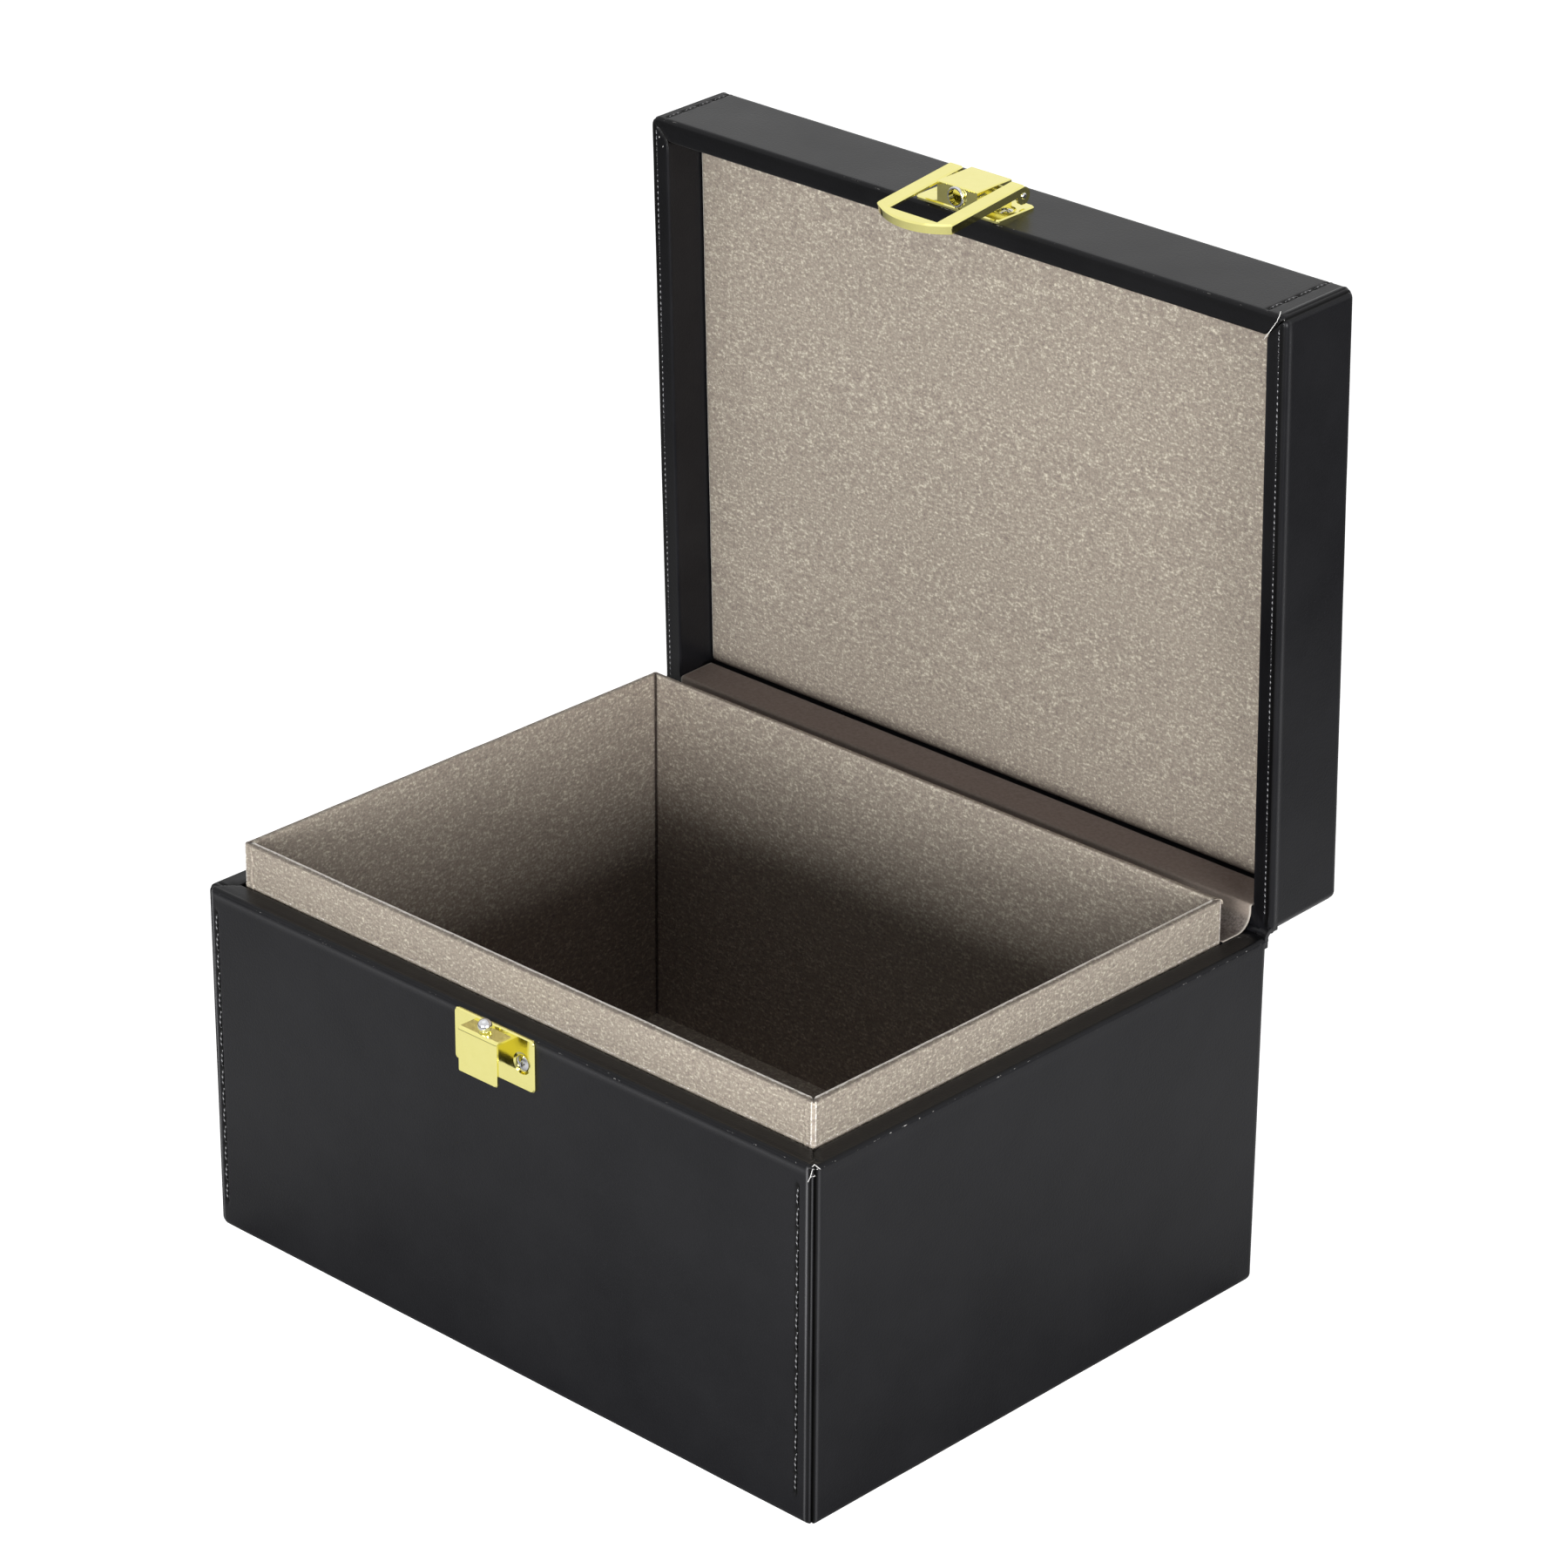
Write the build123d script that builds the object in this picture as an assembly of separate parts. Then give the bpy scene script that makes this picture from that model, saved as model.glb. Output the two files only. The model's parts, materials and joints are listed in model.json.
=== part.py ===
from build123d import *
import os
from math import cos, radians, sin, sqrt

# A leather-covered key box with a fabric-lined shielding liner, a hinged tray lid and a
# metal hasp clasp. Origin: centre of the underside. +X to the right, +Y to the back, +Z up.
# Millimetres. The lid is drawn shut and then turned open about the spine.

# ---- overall form -----------------------------------------------------------------------
box_width = 200.0
box_depth = 156.0
base_height = 92.8
lid_height = 25.2
open_angle = 88.3
rim_gap = 0.7            # between the two rims when the lid is shut: two layers of hinge lining
corner_radius = 2.6      # upright corners
foot_radius = 2.4        # bottom edges of the base, top edges of the lid
rim_radius = 1.1         # outer edge of both rims
rim_inner_radius = 0.5

# ---- leather and boards -----------------------------------------------------------------
leather = 0.8
base_board = 4.5
lid_board = 4.1
turn_in = 14.0           # how far the base leather goes down inside the rim
under_turn = 8.0         # how far it goes under the bottom
cover_gap = 0.15         # between the turned edges and the bottom cover
cover_proud = 0.2        # the bottom cover stands this far out, so that the box rests on it
spine_leg = 8.0          # how far the spine leather runs onto base and lid
spine_end = 2.7          # spine leather stops short of each side by this
ledge_height = 24.0

# ---- shielding liner --------------------------------------------------------------------
liner_inset = 6.7        # outer face of the liner from the front and side faces
liner_back_inset = 10.0  # the same from the back face
liner_board = 1.2
fabric = 0.3
lip_height = 11.2        # liner above the base rim
fabric_drop = 20.0       # outer fabric below the base rim
liner_radius = 0.5

# ---- lid lining -------------------------------------------------------------------------
recess_depth = 10.8
lining_board_t = 2.0
lining_gap = 0.2
lining_radius = 1.6
pad_gap = 0.3

# ---- hinge lining: the strip that covers both rear rims inside the fold ---------------------
strip_t = 0.3
strip_clear = 0.02       # the glue line under it
strip_sag = 4.5          # radius of its free bend when the lid is open
strip_turn = 0.6         # radius where it turns into the lid
strip_side_gap = 0.4

# ---- clasp: common ----------------------------------------------------------------------
plate_width = 26.2
plate_height = 13.4
plate_t = 0.8
plate_corner = 1.2
plate_bevel = 0.3        # bright bevel round the outer face of each plate
plate_drop = 0.7         # catch plate below the base rim, clasp plate above the lid rim
screw_spread = 9.2       # screw centre from the middle of the box
screw_head_radius = 1.9
screw_dome = 0.4
screw_sink = 0.7
screw_radius = 0.8
screw_length = 5.0
screw_clear = 0.03
dish_radius = 2.8        # the pressed dish that each screw sits in
dish_floor = 2.2
dish_depth = 0.25
cross_length = 2.0
cross_width = 0.45
cross_depth = 0.5

# ---- clasp: catch on the base -------------------------------------------------------------
hook_width = 12.7
hook_reach = 6.2         # front of the hook plate from the leather
hook_drop = 0.7          # shelf below the top of the back plate
hook_length = 11.6
hook_bend = 0.8
ball_radius = 1.75
ball_rise = 1.3          # ball centre above the shelf
stem_radius = 1.0
rivet_radius = 1.5
rivet_height = 0.5

# ---- clasp: cover and socket on the lid ---------------------------------------------------
cover_width = 12.6
cover_front = 1.1        # lower wall above the lid rim
cover_length = 12.1
cover_top = 6.1          # outer face from the leather
cover_wall = 0.8
cover_edge = 0.35
ring_bore = 2.05         # socket radius: the ball goes in with a clearance
ring_wall = 0.3
ring_lip = 0.2
ring_lip_length = 0.8    # below the cover

# ---- clasp: hasp ----------------------------------------------------------------------------
pin_radius = 0.8
pin_end = 0.4            # the pin's rounded ends stand out past the hasp
pin_height = 3.6         # pin centre from the leather
pin_rise = 11.5          # pin centre above the lid rim
pin_clear = 0.05
pin_press = 0.02
hasp_width = 23.6
hasp_plate = 0.9
hasp_top = 2.7           # outer face of the hasp above the pin centre
hasp_skirt = 2.5         # depth of the rim round its edge
hasp_skirt_t = 0.8
hasp_shoulder = 13.6     # where the straight sides end, below the lid rim
hasp_bulge = 4.0
hasp_tail = 0.2          # straight sides past the pin
hasp_lobe = 2.2
hasp_edge = 0.4          # bevel of its plate, outside and round the window
skirt_step = 0.25        # the skirt stands back this far under the plate
window_width = 15.0
window_clear = 0.35      # nose bar below the hook plate
hasp_droop = 6.0         # the free hasp hangs this much past parallel, degrees

# ---- worked out ---------------------------------------------------------------------------
half_w = box_width / 2
half_d = box_depth / 2
lid_zero = base_height + rim_gap          # the lid's rim when shut
lid_end = lid_zero + lid_height
base_wall = 2 * leather + base_board      # outer leather, board, turned-in leather
lid_wall = 2 * leather + lid_board
board_z = cover_proud + leather           # underside of the bottom board
floor_z = board_z + base_board            # its top
lip_z = base_height + lip_height
liner_wall = liner_board + 2 * fabric
lining_t = lining_board_t + 2 * fabric
lining_z = lid_zero + recess_depth
ceiling_z = lid_end - leather - lid_board  # underside of the lid's top board
hinge_z = base_height + rim_gap / 2
hinge_axis = Axis((0, half_d, hinge_z), (1, 0, 0))
face_y = -half_d                          # leather on the front of base and lid
seat_y = face_y - plate_t + dish_depth    # floor of the screws' dishes
pin_y = face_y - pin_height
pin_z = lid_zero + pin_rise
pin_axis = Axis((0, pin_y, pin_z), (1, 0, 0))
catch_top = base_height - plate_drop
shelf_z = catch_top - hook_drop
clasp_bottom = lid_zero + plate_drop
hook_bottom = shelf_z - hook_length
ball_y = face_y - (plate_t + hook_reach) / 2
ball_z = shelf_z + ball_rise

nodes = {}


def block(x0, x1, y0, y1, z0, z1):
    """A plain block between its low and high faces."""
    return Pos((x0 + x1) / 2, (y0 + y1) / 2, (z0 + z1) / 2) * Box(x1 - x0, y1 - y0, z1 - z0)


def rounded_box(inset, z0, z1, r_low, r_high):
    """The box's outline, moved inwards, with its corners and edges rounded."""
    body = block(-half_w + inset, half_w - inset, -half_d + inset, half_d - inset, z0, z1)
    body = fillet(body.edges().filter_by(Axis.Z), corner_radius - inset)
    body = fillet(body.faces().sort_by(Axis.Z)[0].edges(), r_low)
    return fillet(body.faces().sort_by(Axis.Z)[-1].edges(), r_high)


def mitred_sides(x_half, y_front, y_back, z0, z1):
    """Four prisms that part a rectangular tray along the 45 degree lines of its corners."""
    reach = min(x_half, (y_back - y_front) / 2)
    corners = [(-x_half, y_front), (x_half, y_front), (x_half, y_back), (-x_half, y_back)]
    inner = [(x + (reach if x < 0 else -reach), y + (reach if y == y_front else -reach)) for x, y in corners]
    names = ["front", "right", "back", "left"]
    sides = {}
    for i, name in enumerate(names):
        j = (i + 1) % 4
        points = [corners[i], corners[j], inner[j], inner[i]]
        if abs(inner[i][0] - inner[j][0]) + abs(inner[i][1] - inner[j][1]) < 0.001:
            points.pop()              # the two lines meet in a point on the short sides
        outline = Plane.XY.offset(z0) * make_face(Polyline(*points, close=True))
        sides[name] = extrude(outline, amount=z1 - z0)
    return sides


def ring_edges(body, z, x_half, y_front, y_back):
    """The straight edges of a rectangular opening at height z."""
    def on_rim(edge):
        c = edge.center()
        on_x = abs(abs(c.X) - x_half) < 0.01
        on_y = abs(c.Y - y_front) < 0.01 or abs(c.Y - y_back) < 0.01
        return abs(c.Z - z) < 0.01 and (on_x or on_y)
    return ShapeList([edge for edge in body.edges() if on_rim(edge)])


def opened(shape):
    """Turn a piece of the shut lid to where it stands when the lid is open."""
    return shape.rotate(hinge_axis, -open_angle)


def screw_hole(x, z):
    """What a screw takes from its plate and the wall behind: dish, countersink and pilot hole."""
    into = Plane(origin=(x, seat_y, z), x_dir=(1, 0, 0), z_dir=(0, 1, 0))
    dish = loft([into.offset(-dish_depth) * Circle(dish_radius), into * Circle(dish_floor)])
    cone = loft([into * Circle(screw_head_radius + screw_clear),
                 into.offset(screw_sink) * Circle(screw_radius + screw_clear)])
    pilot = extrude(into * Circle(screw_radius + screw_clear), amount=screw_length + plate_t - dish_depth)
    return dish + cone + pilot


def screw(x, z):
    """An oval-head wood screw with a cross recess, driven towards +Y."""
    into = Plane(origin=(x, seat_y, z), x_dir=(1, 0, 0), z_dir=(0, 1, 0))
    shank = extrude(into * Circle(screw_radius), amount=screw_length - screw_radius)
    tip = loft([into.offset(screw_length - screw_radius) * Circle(screw_radius),
                into.offset(screw_length) * Circle(screw_radius / 4)])
    cone = loft([into * Circle(screw_head_radius), into.offset(screw_sink) * Circle(screw_radius)])
    dome_radius = (screw_head_radius ** 2 + screw_dome ** 2) / (2 * screw_dome)
    dome = Pos(x, seat_y + dome_radius - screw_dome, z) * Sphere(dome_radius)
    dome &= extrude(into * Circle(screw_head_radius), amount=-screw_dome)
    body = shank + tip + cone + dome
    head_y = seat_y - screw_dome
    for wide, high in ((cross_length, cross_width), (cross_width, cross_length)):
        body -= block(x - wide / 2, x + wide / 2, head_y, head_y + cross_depth, z - high / 2, z + high / 2)
    return body


# ---- base: boards --------------------------------------------------------------------------
base_outer = rounded_box(0, cover_proud, base_height, foot_radius, rim_radius)
base_core = rounded_box(leather, board_z, base_height - leather, foot_radius - leather, rim_radius - leather)
board_face = leather + base_board         # inner face of the side boards, from outside
inner_x = half_w - board_face
inner_y = half_d - board_face
hollow = block(-inner_x, inner_x, -inner_y, inner_y, floor_z, base_height)
base_carcase = base_core - hollow
catch_z = catch_top - plate_height / 2
catch_holes = [screw_hole(s * screw_spread, catch_z) for s in (-1, 1)]

lower = block(-half_w, half_w, -half_d, half_d, 0, floor_z)
upper = block(-half_w, half_w, -half_d, half_d, floor_z, base_height)
front_zone = block(-half_w, half_w, -half_d, -inner_y, 0, base_height)
back_zone = block(-half_w, half_w, inner_y, half_d, 0, base_height)
left_zone = block(-half_w, -inner_x, -inner_y, inner_y, 0, base_height)
right_zone = block(inner_x, half_w, -inner_y, inner_y, 0, base_height)
walls = base_carcase & upper
nodes["base_bottom_board"] = base_carcase & lower
nodes["base_front_board"] = (walls & front_zone) - catch_holes
nodes["base_back_board"] = walls & back_zone
nodes["base_left_board"] = walls & left_zone
nodes["base_right_board"] = walls & right_zone

ledge_front = half_d - liner_back_inset + strip_clear
ledge_top = base_height - leather
ledge_x = half_w - base_wall
nodes["rear_ledge"] = block(-ledge_x, ledge_x, ledge_front, inner_y, ledge_top - ledge_height, ledge_top)

# ---- base: leather ---------------------------------------------------------------------------
rim_x = half_w - base_wall
rim_y = half_d - base_wall
mouth = block(-rim_x, rim_x, -rim_y, rim_y, board_z, base_height)
under_x, under_y = half_w - under_turn, half_d - under_turn
under = block(-under_x, under_x, -under_y, under_y, 0, board_z)
lining_ring = block(-inner_x, inner_x, -inner_y, inner_y, base_height - turn_in, base_height - leather)
lining_ring -= mouth
base_skin = (base_outer - base_core - mouth - under) + lining_ring
base_skin = fillet(ring_edges(base_skin, base_height, rim_x, -rim_y, rim_y), rim_inner_radius)
base_sides = mitred_sides(half_w, -half_d, half_d, 0, base_height)
# Along the back the spine leather and the rim strip take over from the wall's own leather.
spine_x = half_w - spine_end
spine_low = base_height - spine_leg
back_band = block(-spine_x, spine_x, half_d - leather, half_d, spine_low, base_height)
side_end = {"left": block(-half_w, -rim_x, 0, half_d, spine_low, base_height),
            "right": block(rim_x, half_w, 0, half_d, spine_low, base_height)}
back_lower = block(-half_w, half_w, 0, half_d, 0, spine_low)
nodes["base_front_leather"] = (base_skin & base_sides["front"]) - catch_holes
nodes["base_back_leather"] = ((base_skin - lining_ring) & base_sides["back"]) & back_lower
for side in ("left", "right"):
    zone = base_sides[side] + side_end[side]
    nodes[f"base_{side}_leather"] = (base_skin - back_band) & zone
nodes["rear_rim_leather"] = block(-rim_x, rim_x, ledge_front, half_d - leather, ledge_top, base_height)
cover_x = under_x - cover_gap
cover_y = under_y - cover_gap
nodes["base_bottom_cover"] = block(-cover_x, cover_x, -cover_y, cover_y, 0, board_z)

# ---- liner --------------------------------------------------------------------------------------
liner_x = half_w - liner_inset
liner_front = -half_d + liner_inset
liner_back = half_d - liner_back_inset
floor_top = floor_z + liner_wall


def liner_ring(grow, z0, z1):
    """The liner's four walls between two offsets of its outer face, as one ring."""
    out, inn = grow
    ring = block(-liner_x + out, liner_x - out, liner_front + out, liner_back - out, z0, z1)
    return ring - block(-liner_x + inn, liner_x - inn, liner_front + inn, liner_back - inn, z0, z1)


liner_core = liner_ring((fabric, fabric + liner_board), floor_z, lip_z - fabric)
liner_full = liner_ring((0, liner_wall), floor_top, lip_z)
hold_x, hold_front, hold_back = liner_x - liner_wall, liner_front + liner_wall, liner_back - liner_wall
lip_edges = ring_edges(liner_full, lip_z, liner_x, liner_front, liner_back)
lip_edges += ring_edges(liner_full, lip_z, hold_x, hold_front, hold_back)
liner_full = fillet(lip_edges, liner_radius)
below_drop = liner_ring((0, fabric), floor_top, base_height - fabric_drop)
liner_skin = liner_full - liner_core - below_drop
liner_sides = mitred_sides(liner_x, liner_front, liner_back, 0, lip_z)
for side, zone in liner_sides.items():
    nodes[f"liner_{side}_board"] = liner_core & zone
    nodes[f"shield_{side}_fabric"] = liner_skin & zone

floor_out = fabric + liner_board          # the floor fits between the walls' boards
floor_x = liner_x - floor_out
floor_board = block(-floor_x, floor_x, liner_front + floor_out, liner_back - floor_out, floor_z, floor_top)
floor_core = block(-hold_x, hold_x, hold_front, hold_back, floor_z, floor_top - fabric)
nodes["liner_floor_board"] = floor_core
nodes["shield_floor_fabric"] = floor_board - floor_core

# ---- lid: boards -----------------------------------------------------------------------------------
lid_outer = rounded_box(0, lid_zero, lid_end, rim_radius, foot_radius)
lid_core = rounded_box(leather, lid_zero + leather, lid_end - leather,
                       rim_radius - leather, foot_radius - leather)
lid_inner_x = half_w - leather - lid_board
lid_inner_y = half_d - leather - lid_board
lid_hollow = block(-lid_inner_x, lid_inner_x, -lid_inner_y, lid_inner_y, lid_zero, ceiling_z)
lid_carcase = lid_core - lid_hollow
clasp_z = clasp_bottom + plate_height / 2
clasp_holes = [screw_hole(s * screw_spread, clasp_z) for s in (-1, 1)]
lid_lower = block(-half_w, half_w, -half_d, half_d, lid_zero, ceiling_z)
rim_boards = lid_carcase & lid_lower


def lid_strip(x0, x1, y0, y1):
    """The part of the lid's rim boards over one stretch of the plan."""
    return rim_boards & block(x0, x1, y0, y1, lid_zero, ceiling_z)


lid_nodes = {}
lid_nodes["lid_top_board"] = lid_carcase - lid_lower
lid_nodes["lid_front_board"] = lid_strip(-half_w, half_w, -half_d, -lid_inner_y) - clasp_holes
lid_nodes["lid_back_board"] = lid_strip(-half_w, half_w, lid_inner_y, half_d)
lid_nodes["lid_left_board"] = lid_strip(-half_w, -lid_inner_x, -lid_inner_y, lid_inner_y)
lid_nodes["lid_right_board"] = lid_strip(lid_inner_x, half_w, -lid_inner_y, lid_inner_y)

# ---- lid: leather ------------------------------------------------------------------------------------
recess_x = half_w - lid_wall
recess_y = half_d - lid_wall
lining_top = lining_z + lining_t
recess = block(-recess_x, recess_x, -recess_y, recess_y, lid_zero, lining_top)
recess_ring = block(-lid_inner_x, lid_inner_x, -lid_inner_y, lid_inner_y, lid_zero + leather, lining_top)
recess_ring -= recess
lid_skin = (lid_outer - lid_core - recess) + recess_ring
lid_skin = fillet(ring_edges(lid_skin, lid_zero, recess_x, -recess_y, recess_y), rim_inner_radius)
lid_sides = mitred_sides(half_w, -half_d, half_d, lid_zero, lid_end)
# The wrap covers front, top and back, so each side panel ends on the top at a 45 degree line.
side_panel = {}
for side, sign in (("left", -1), ("right", 1)):
    points = [(sign * half_w, lid_zero), (sign * half_w, lid_end), (sign * (half_w - lid_height), lid_zero)]
    wedge = extrude(Plane.XZ.offset(-half_d) * make_face(Polyline(*points, close=True)), amount=box_depth)
    low_end, high_end = sorted((sign * recess_x, sign * half_w))
    back_end = block(low_end, high_end, 0, half_d, lid_zero, lid_zero + spine_leg)
    low_end, high_end = sorted((sign * recess_x, sign * lid_inner_x))
    back_end += block(low_end, high_end, 0, lid_inner_y, lid_zero, lining_top)
    side_panel[side] = (lid_sides[side] & wedge) + back_end
rear_zone = block(-recess_x, recess_x, recess_y, half_d - leather, lid_zero, lining_top)
lid_band = block(-spine_x, spine_x, half_d - leather, half_d, lid_zero, lid_zero + spine_leg)
lid_nodes["lid_rear_rim_leather"] = (lid_skin & rear_zone) - (lid_core - lid_hollow)
for side, zone in side_panel.items():
    lid_nodes[f"lid_{side}_leather"] = (lid_skin - lid_band) & zone
wrap = lid_skin - lid_band - rear_zone - side_panel["left"] - side_panel["right"]
lid_nodes["lid_wrap_leather"] = wrap - clasp_holes

# ---- lid: lining panel and pad ---------------------------------------------------------------------
panel_x = recess_x - lining_gap
panel_y = recess_y - lining_gap
panel = block(-panel_x, panel_x, -panel_y, panel_y, lining_z, lining_top)
panel = fillet(panel.faces().sort_by(Axis.Z)[0].edges(), lining_radius)
core_x = panel_x - fabric
core_y = panel_y - fabric
panel_core = block(-core_x, core_x, -core_y, core_y, lining_z + fabric, lining_top)
panel_core = fillet(panel_core.faces().sort_by(Axis.Z)[0].edges(), lining_radius - fabric)
lid_nodes["lining_board"] = panel_core
lid_nodes["lining_fabric"] = panel - panel_core
pad_x = lid_inner_x - pad_gap
pad_y = lid_inner_y - pad_gap
lid_nodes["lid_pad"] = block(-pad_x, pad_x, -pad_y, pad_y, lining_top, ceiling_z)

# ---- clasp: catch on the base ------------------------------------------------------------------------
def plate(z0, holes):
    """A bevelled back plate on the front leather, with its screws' dishes and holes."""
    body = block(-plate_width / 2, plate_width / 2, face_y - plate_t, face_y, z0, z0 + plate_height)
    body = fillet(body.edges().filter_by(Axis.Y), plate_corner)
    return chamfer(body.faces().sort_by(Axis.Y)[0].edges(), plate_bevel) - holes


hook_profile = [(face_y - plate_t, shelf_z), (face_y - hook_reach, shelf_z), (face_y - hook_reach, hook_bottom),
                (face_y - hook_reach + plate_t, hook_bottom), (face_y - hook_reach + plate_t, shelf_z - plate_t),
                (face_y - plate_t, shelf_z - plate_t)]
hook = extrude(Plane.YZ.offset(-hook_width / 2) * make_face(Polyline(*hook_profile, close=True)), amount=hook_width)
hook_edges = hook.edges().filter_by(Axis.X)
outer_bend = hook_edges.filter_by_position(Axis.Y, face_y - hook_reach - 0.01, face_y - hook_reach + 0.01)
hook = fillet(outer_bend.sort_by(Axis.Z)[-1], hook_bend)
lower_corners = hook.edges().filter_by(Axis.Y).filter_by_position(Axis.Z, hook_bottom - 0.01, hook_bottom + 0.01)
hook = fillet(lower_corners, plate_corner / 2)
hook_face = hook.faces().sort_by(Axis.Y)[0].edges()
hook = chamfer(hook_face.filter_by_position(Axis.Z, hook_bottom - 0.01, shelf_z - hook_bend - 0.01), plate_bevel)
stem_hole = Pos(0, ball_y, shelf_z - plate_t / 2) * Cylinder(stem_radius + pin_press, 2 * plate_t)
nodes["catch_plate"] = (plate(catch_top - plate_height, catch_holes) + hook) - stem_hole

ball = Pos(0, ball_y, ball_z) * Sphere(ball_radius)
ball -= block(-ball_radius, ball_radius, ball_y - ball_radius, ball_y + ball_radius, ball_z - ball_radius, shelf_z)
stem = Pos(0, ball_y, shelf_z - plate_t / 2) * Cylinder(stem_radius, plate_t)
rivet = Pos(0, ball_y, shelf_z - plate_t - rivet_height / 2) * Cylinder(rivet_radius, rivet_height)
nodes["ball_stud"] = ball + stem + rivet
nodes["catch_screws"] = Compound([screw(s * screw_spread, catch_z) for s in (-1, 1)])

# ---- clasp: cover, socket and pin on the lid --------------------------------------------------------
lid_nodes["clasp_plate"] = plate(clasp_bottom, clasp_holes)
lid_nodes["clasp_screws"] = Compound([screw(s * screw_spread, clasp_z) for s in (-1, 1)])

cover_low = lid_zero + cover_front
cover_high = cover_low + cover_length
cover_half = cover_width / 2
cover_y0 = face_y - cover_top
cover = block(-cover_half, cover_half, cover_y0, face_y - plate_t, cover_low, cover_high)
cover = fillet(cover.faces().sort_by(Axis.Y)[0].edges(), cover_edge)
cover_in = cover_half - cover_wall
cover -= block(-cover_in, cover_in, cover_y0 + cover_wall, face_y - plate_t, cover_low + cover_wall, cover_high)
pin_hole = Plane.YZ.offset(-half_w) * Pos(pin_y, pin_z) * Circle(pin_radius + pin_press)
ring_z = cover_low - ring_lip_length
ring_body = ring_bore + ring_wall
ring_hole = Pos(0, ball_y, cover_low) * Cylinder(ring_body + pin_press, 2.5 * cover_wall)
lid_nodes["clasp_cover"] = cover - extrude(pin_hole, amount=box_width) - ring_hole

lip_radius = ring_body + ring_lip
ring_length = ring_lip_length + cover_wall
tube = Pos(0, ball_y, ring_z + ring_length / 2) * Cylinder(ring_body, ring_length)
flange = Pos(0, ball_y, ring_z + ring_lip_length / 2) * Cylinder(lip_radius, ring_lip_length)
flange = fillet(flange.edges().filter_by(GeomType.CIRCLE), ring_lip_length / 3)
bore = Pos(0, ball_y, ring_z + ring_length / 2) * Cylinder(ring_bore, ring_length)
lid_nodes["socket_ring"] = (tube + flange) - bore

pin_length = hasp_width - 2 * skirt_step + 2 * pin_end
pin_line = Plane.YZ.offset(-pin_length / 2) * Pos(pin_y, pin_z)
hasp_pin = extrude(pin_line * Circle(pin_radius), amount=pin_length)
lid_nodes["hasp_pin"] = fillet(hasp_pin.edges().filter_by(GeomType.CIRCLE), pin_end)

# ---- clasp: hasp ---------------------------------------------------------------------------------------
half_h = hasp_width / 2
shoulder_z = lid_zero - hasp_shoulder
tail_z = pin_z + hasp_tail
top_y = pin_y - hasp_top
window_z = hook_bottom - window_clear


def hasp_outline(inset):
    """The U of the hasp: straight sides and a shallow arc for its nose."""
    x = half_h - inset
    sides = Polyline((-x, shoulder_z), (-x, tail_z), (x, tail_z), (x, shoulder_z))
    nose = ThreePointArc((x, shoulder_z), (0, shoulder_z - hasp_bulge + inset), (-x, shoulder_z))
    return make_face(Curve() + [sides, nose])


face_plane = Plane(origin=(0, top_y, 0), x_dir=(1, 0, 0), z_dir=(0, -1, 0))
back_plane = face_plane.offset(-hasp_plate)
window = block(-window_width / 2, window_width / 2, top_y - 1, pin_y, window_z, tail_z)
hasp_face = extrude(face_plane * hasp_outline(0), amount=-hasp_plate) - window
bevelled = [edge for edge in hasp_face.faces().sort_by(Axis.Y)[0].edges() if edge.center().Z < tail_z - 0.01]
hasp_face = chamfer(bevelled, hasp_edge)
skirt = extrude(back_plane * hasp_outline(skirt_step), amount=hasp_plate - hasp_skirt)
skirt -= extrude(back_plane * hasp_outline(hasp_skirt_t), amount=-hasp_skirt)
inner_h = half_h - hasp_skirt_t
hasp = hasp_face + (skirt - block(-inner_h, inner_h, top_y, pin_y + hasp_lobe, pin_z, tail_z))
lobe_h = half_h - skirt_step
lobe_disc = Plane.YZ.offset(-lobe_h) * Pos(pin_y, pin_z) * Circle(hasp_lobe)
lobes = extrude(lobe_disc, amount=2 * lobe_h)
lobes += block(-lobe_h, lobe_h, top_y + hasp_plate, pin_y, pin_z - hasp_lobe, tail_z)
lobes -= block(-inner_h, inner_h, top_y, pin_y + hasp_lobe, pin_z - 2 * hasp_lobe, pin_z + 2 * hasp_lobe)
hasp = hasp + lobes
running_hole = Plane.YZ.offset(-half_w) * Pos(pin_y, pin_z) * Circle(pin_radius + pin_clear)
hasp = hasp - extrude(running_hole, amount=box_width)
lid_nodes["hasp_frame"] = hasp.rotate(pin_axis, hasp_droop)

for name, shape in lid_nodes.items():
    nodes[name] = opened(shape)

# ---- spine leather and hinge lining, drawn where the open lid holds them ----------------------------
lean = radians(open_angle)


def on_lid(u, v):
    """Open position (y, z) of the lid point u from the back face and v above the rim plane."""
    v = v + rim_gap / 2
    return half_d - u * cos(lean) + v * sin(lean), hinge_z + u * sin(lean) + v * cos(lean)


fold = [(half_d - leather, spine_low), (half_d, spine_low), (half_d, hinge_z),
        on_lid(0, spine_leg - cover_gap), on_lid(leather, spine_leg - cover_gap), on_lid(leather, -leather)]
fold_face = Plane.YZ.offset(-spine_x) * make_face(Polyline(*fold, close=True))
nodes["hinge_leather"] = extrude(fold_face, amount=2 * spine_x)

lining_x = recess_x - strip_side_gap
half_t = strip_clear + strip_t / 2
deep = on_lid(lid_wall + half_t, recess_depth - lining_gap)
turn = on_lid(lid_wall + half_t, -half_t)
rim_mid = base_height + half_t
stop_y = liner_back + lining_gap
# where the line along the lid's rim meets the line along the base's rim
low = on_lid(0, -half_t)
slope = (turn[0] - low[0]) / (turn[1] - low[1])
meet = (turn[0] + slope * (rim_mid - turn[1]), rim_mid)
path = FilletPolyline(deep, turn, meet, (stop_y, rim_mid), radius=(strip_turn, strip_sag))
strip_face = Plane.YZ.offset(-lining_x) * trace(path, line_width=strip_t)
nodes["hinge_lining"] = extrude(strip_face, amount=2 * lining_x)

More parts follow.
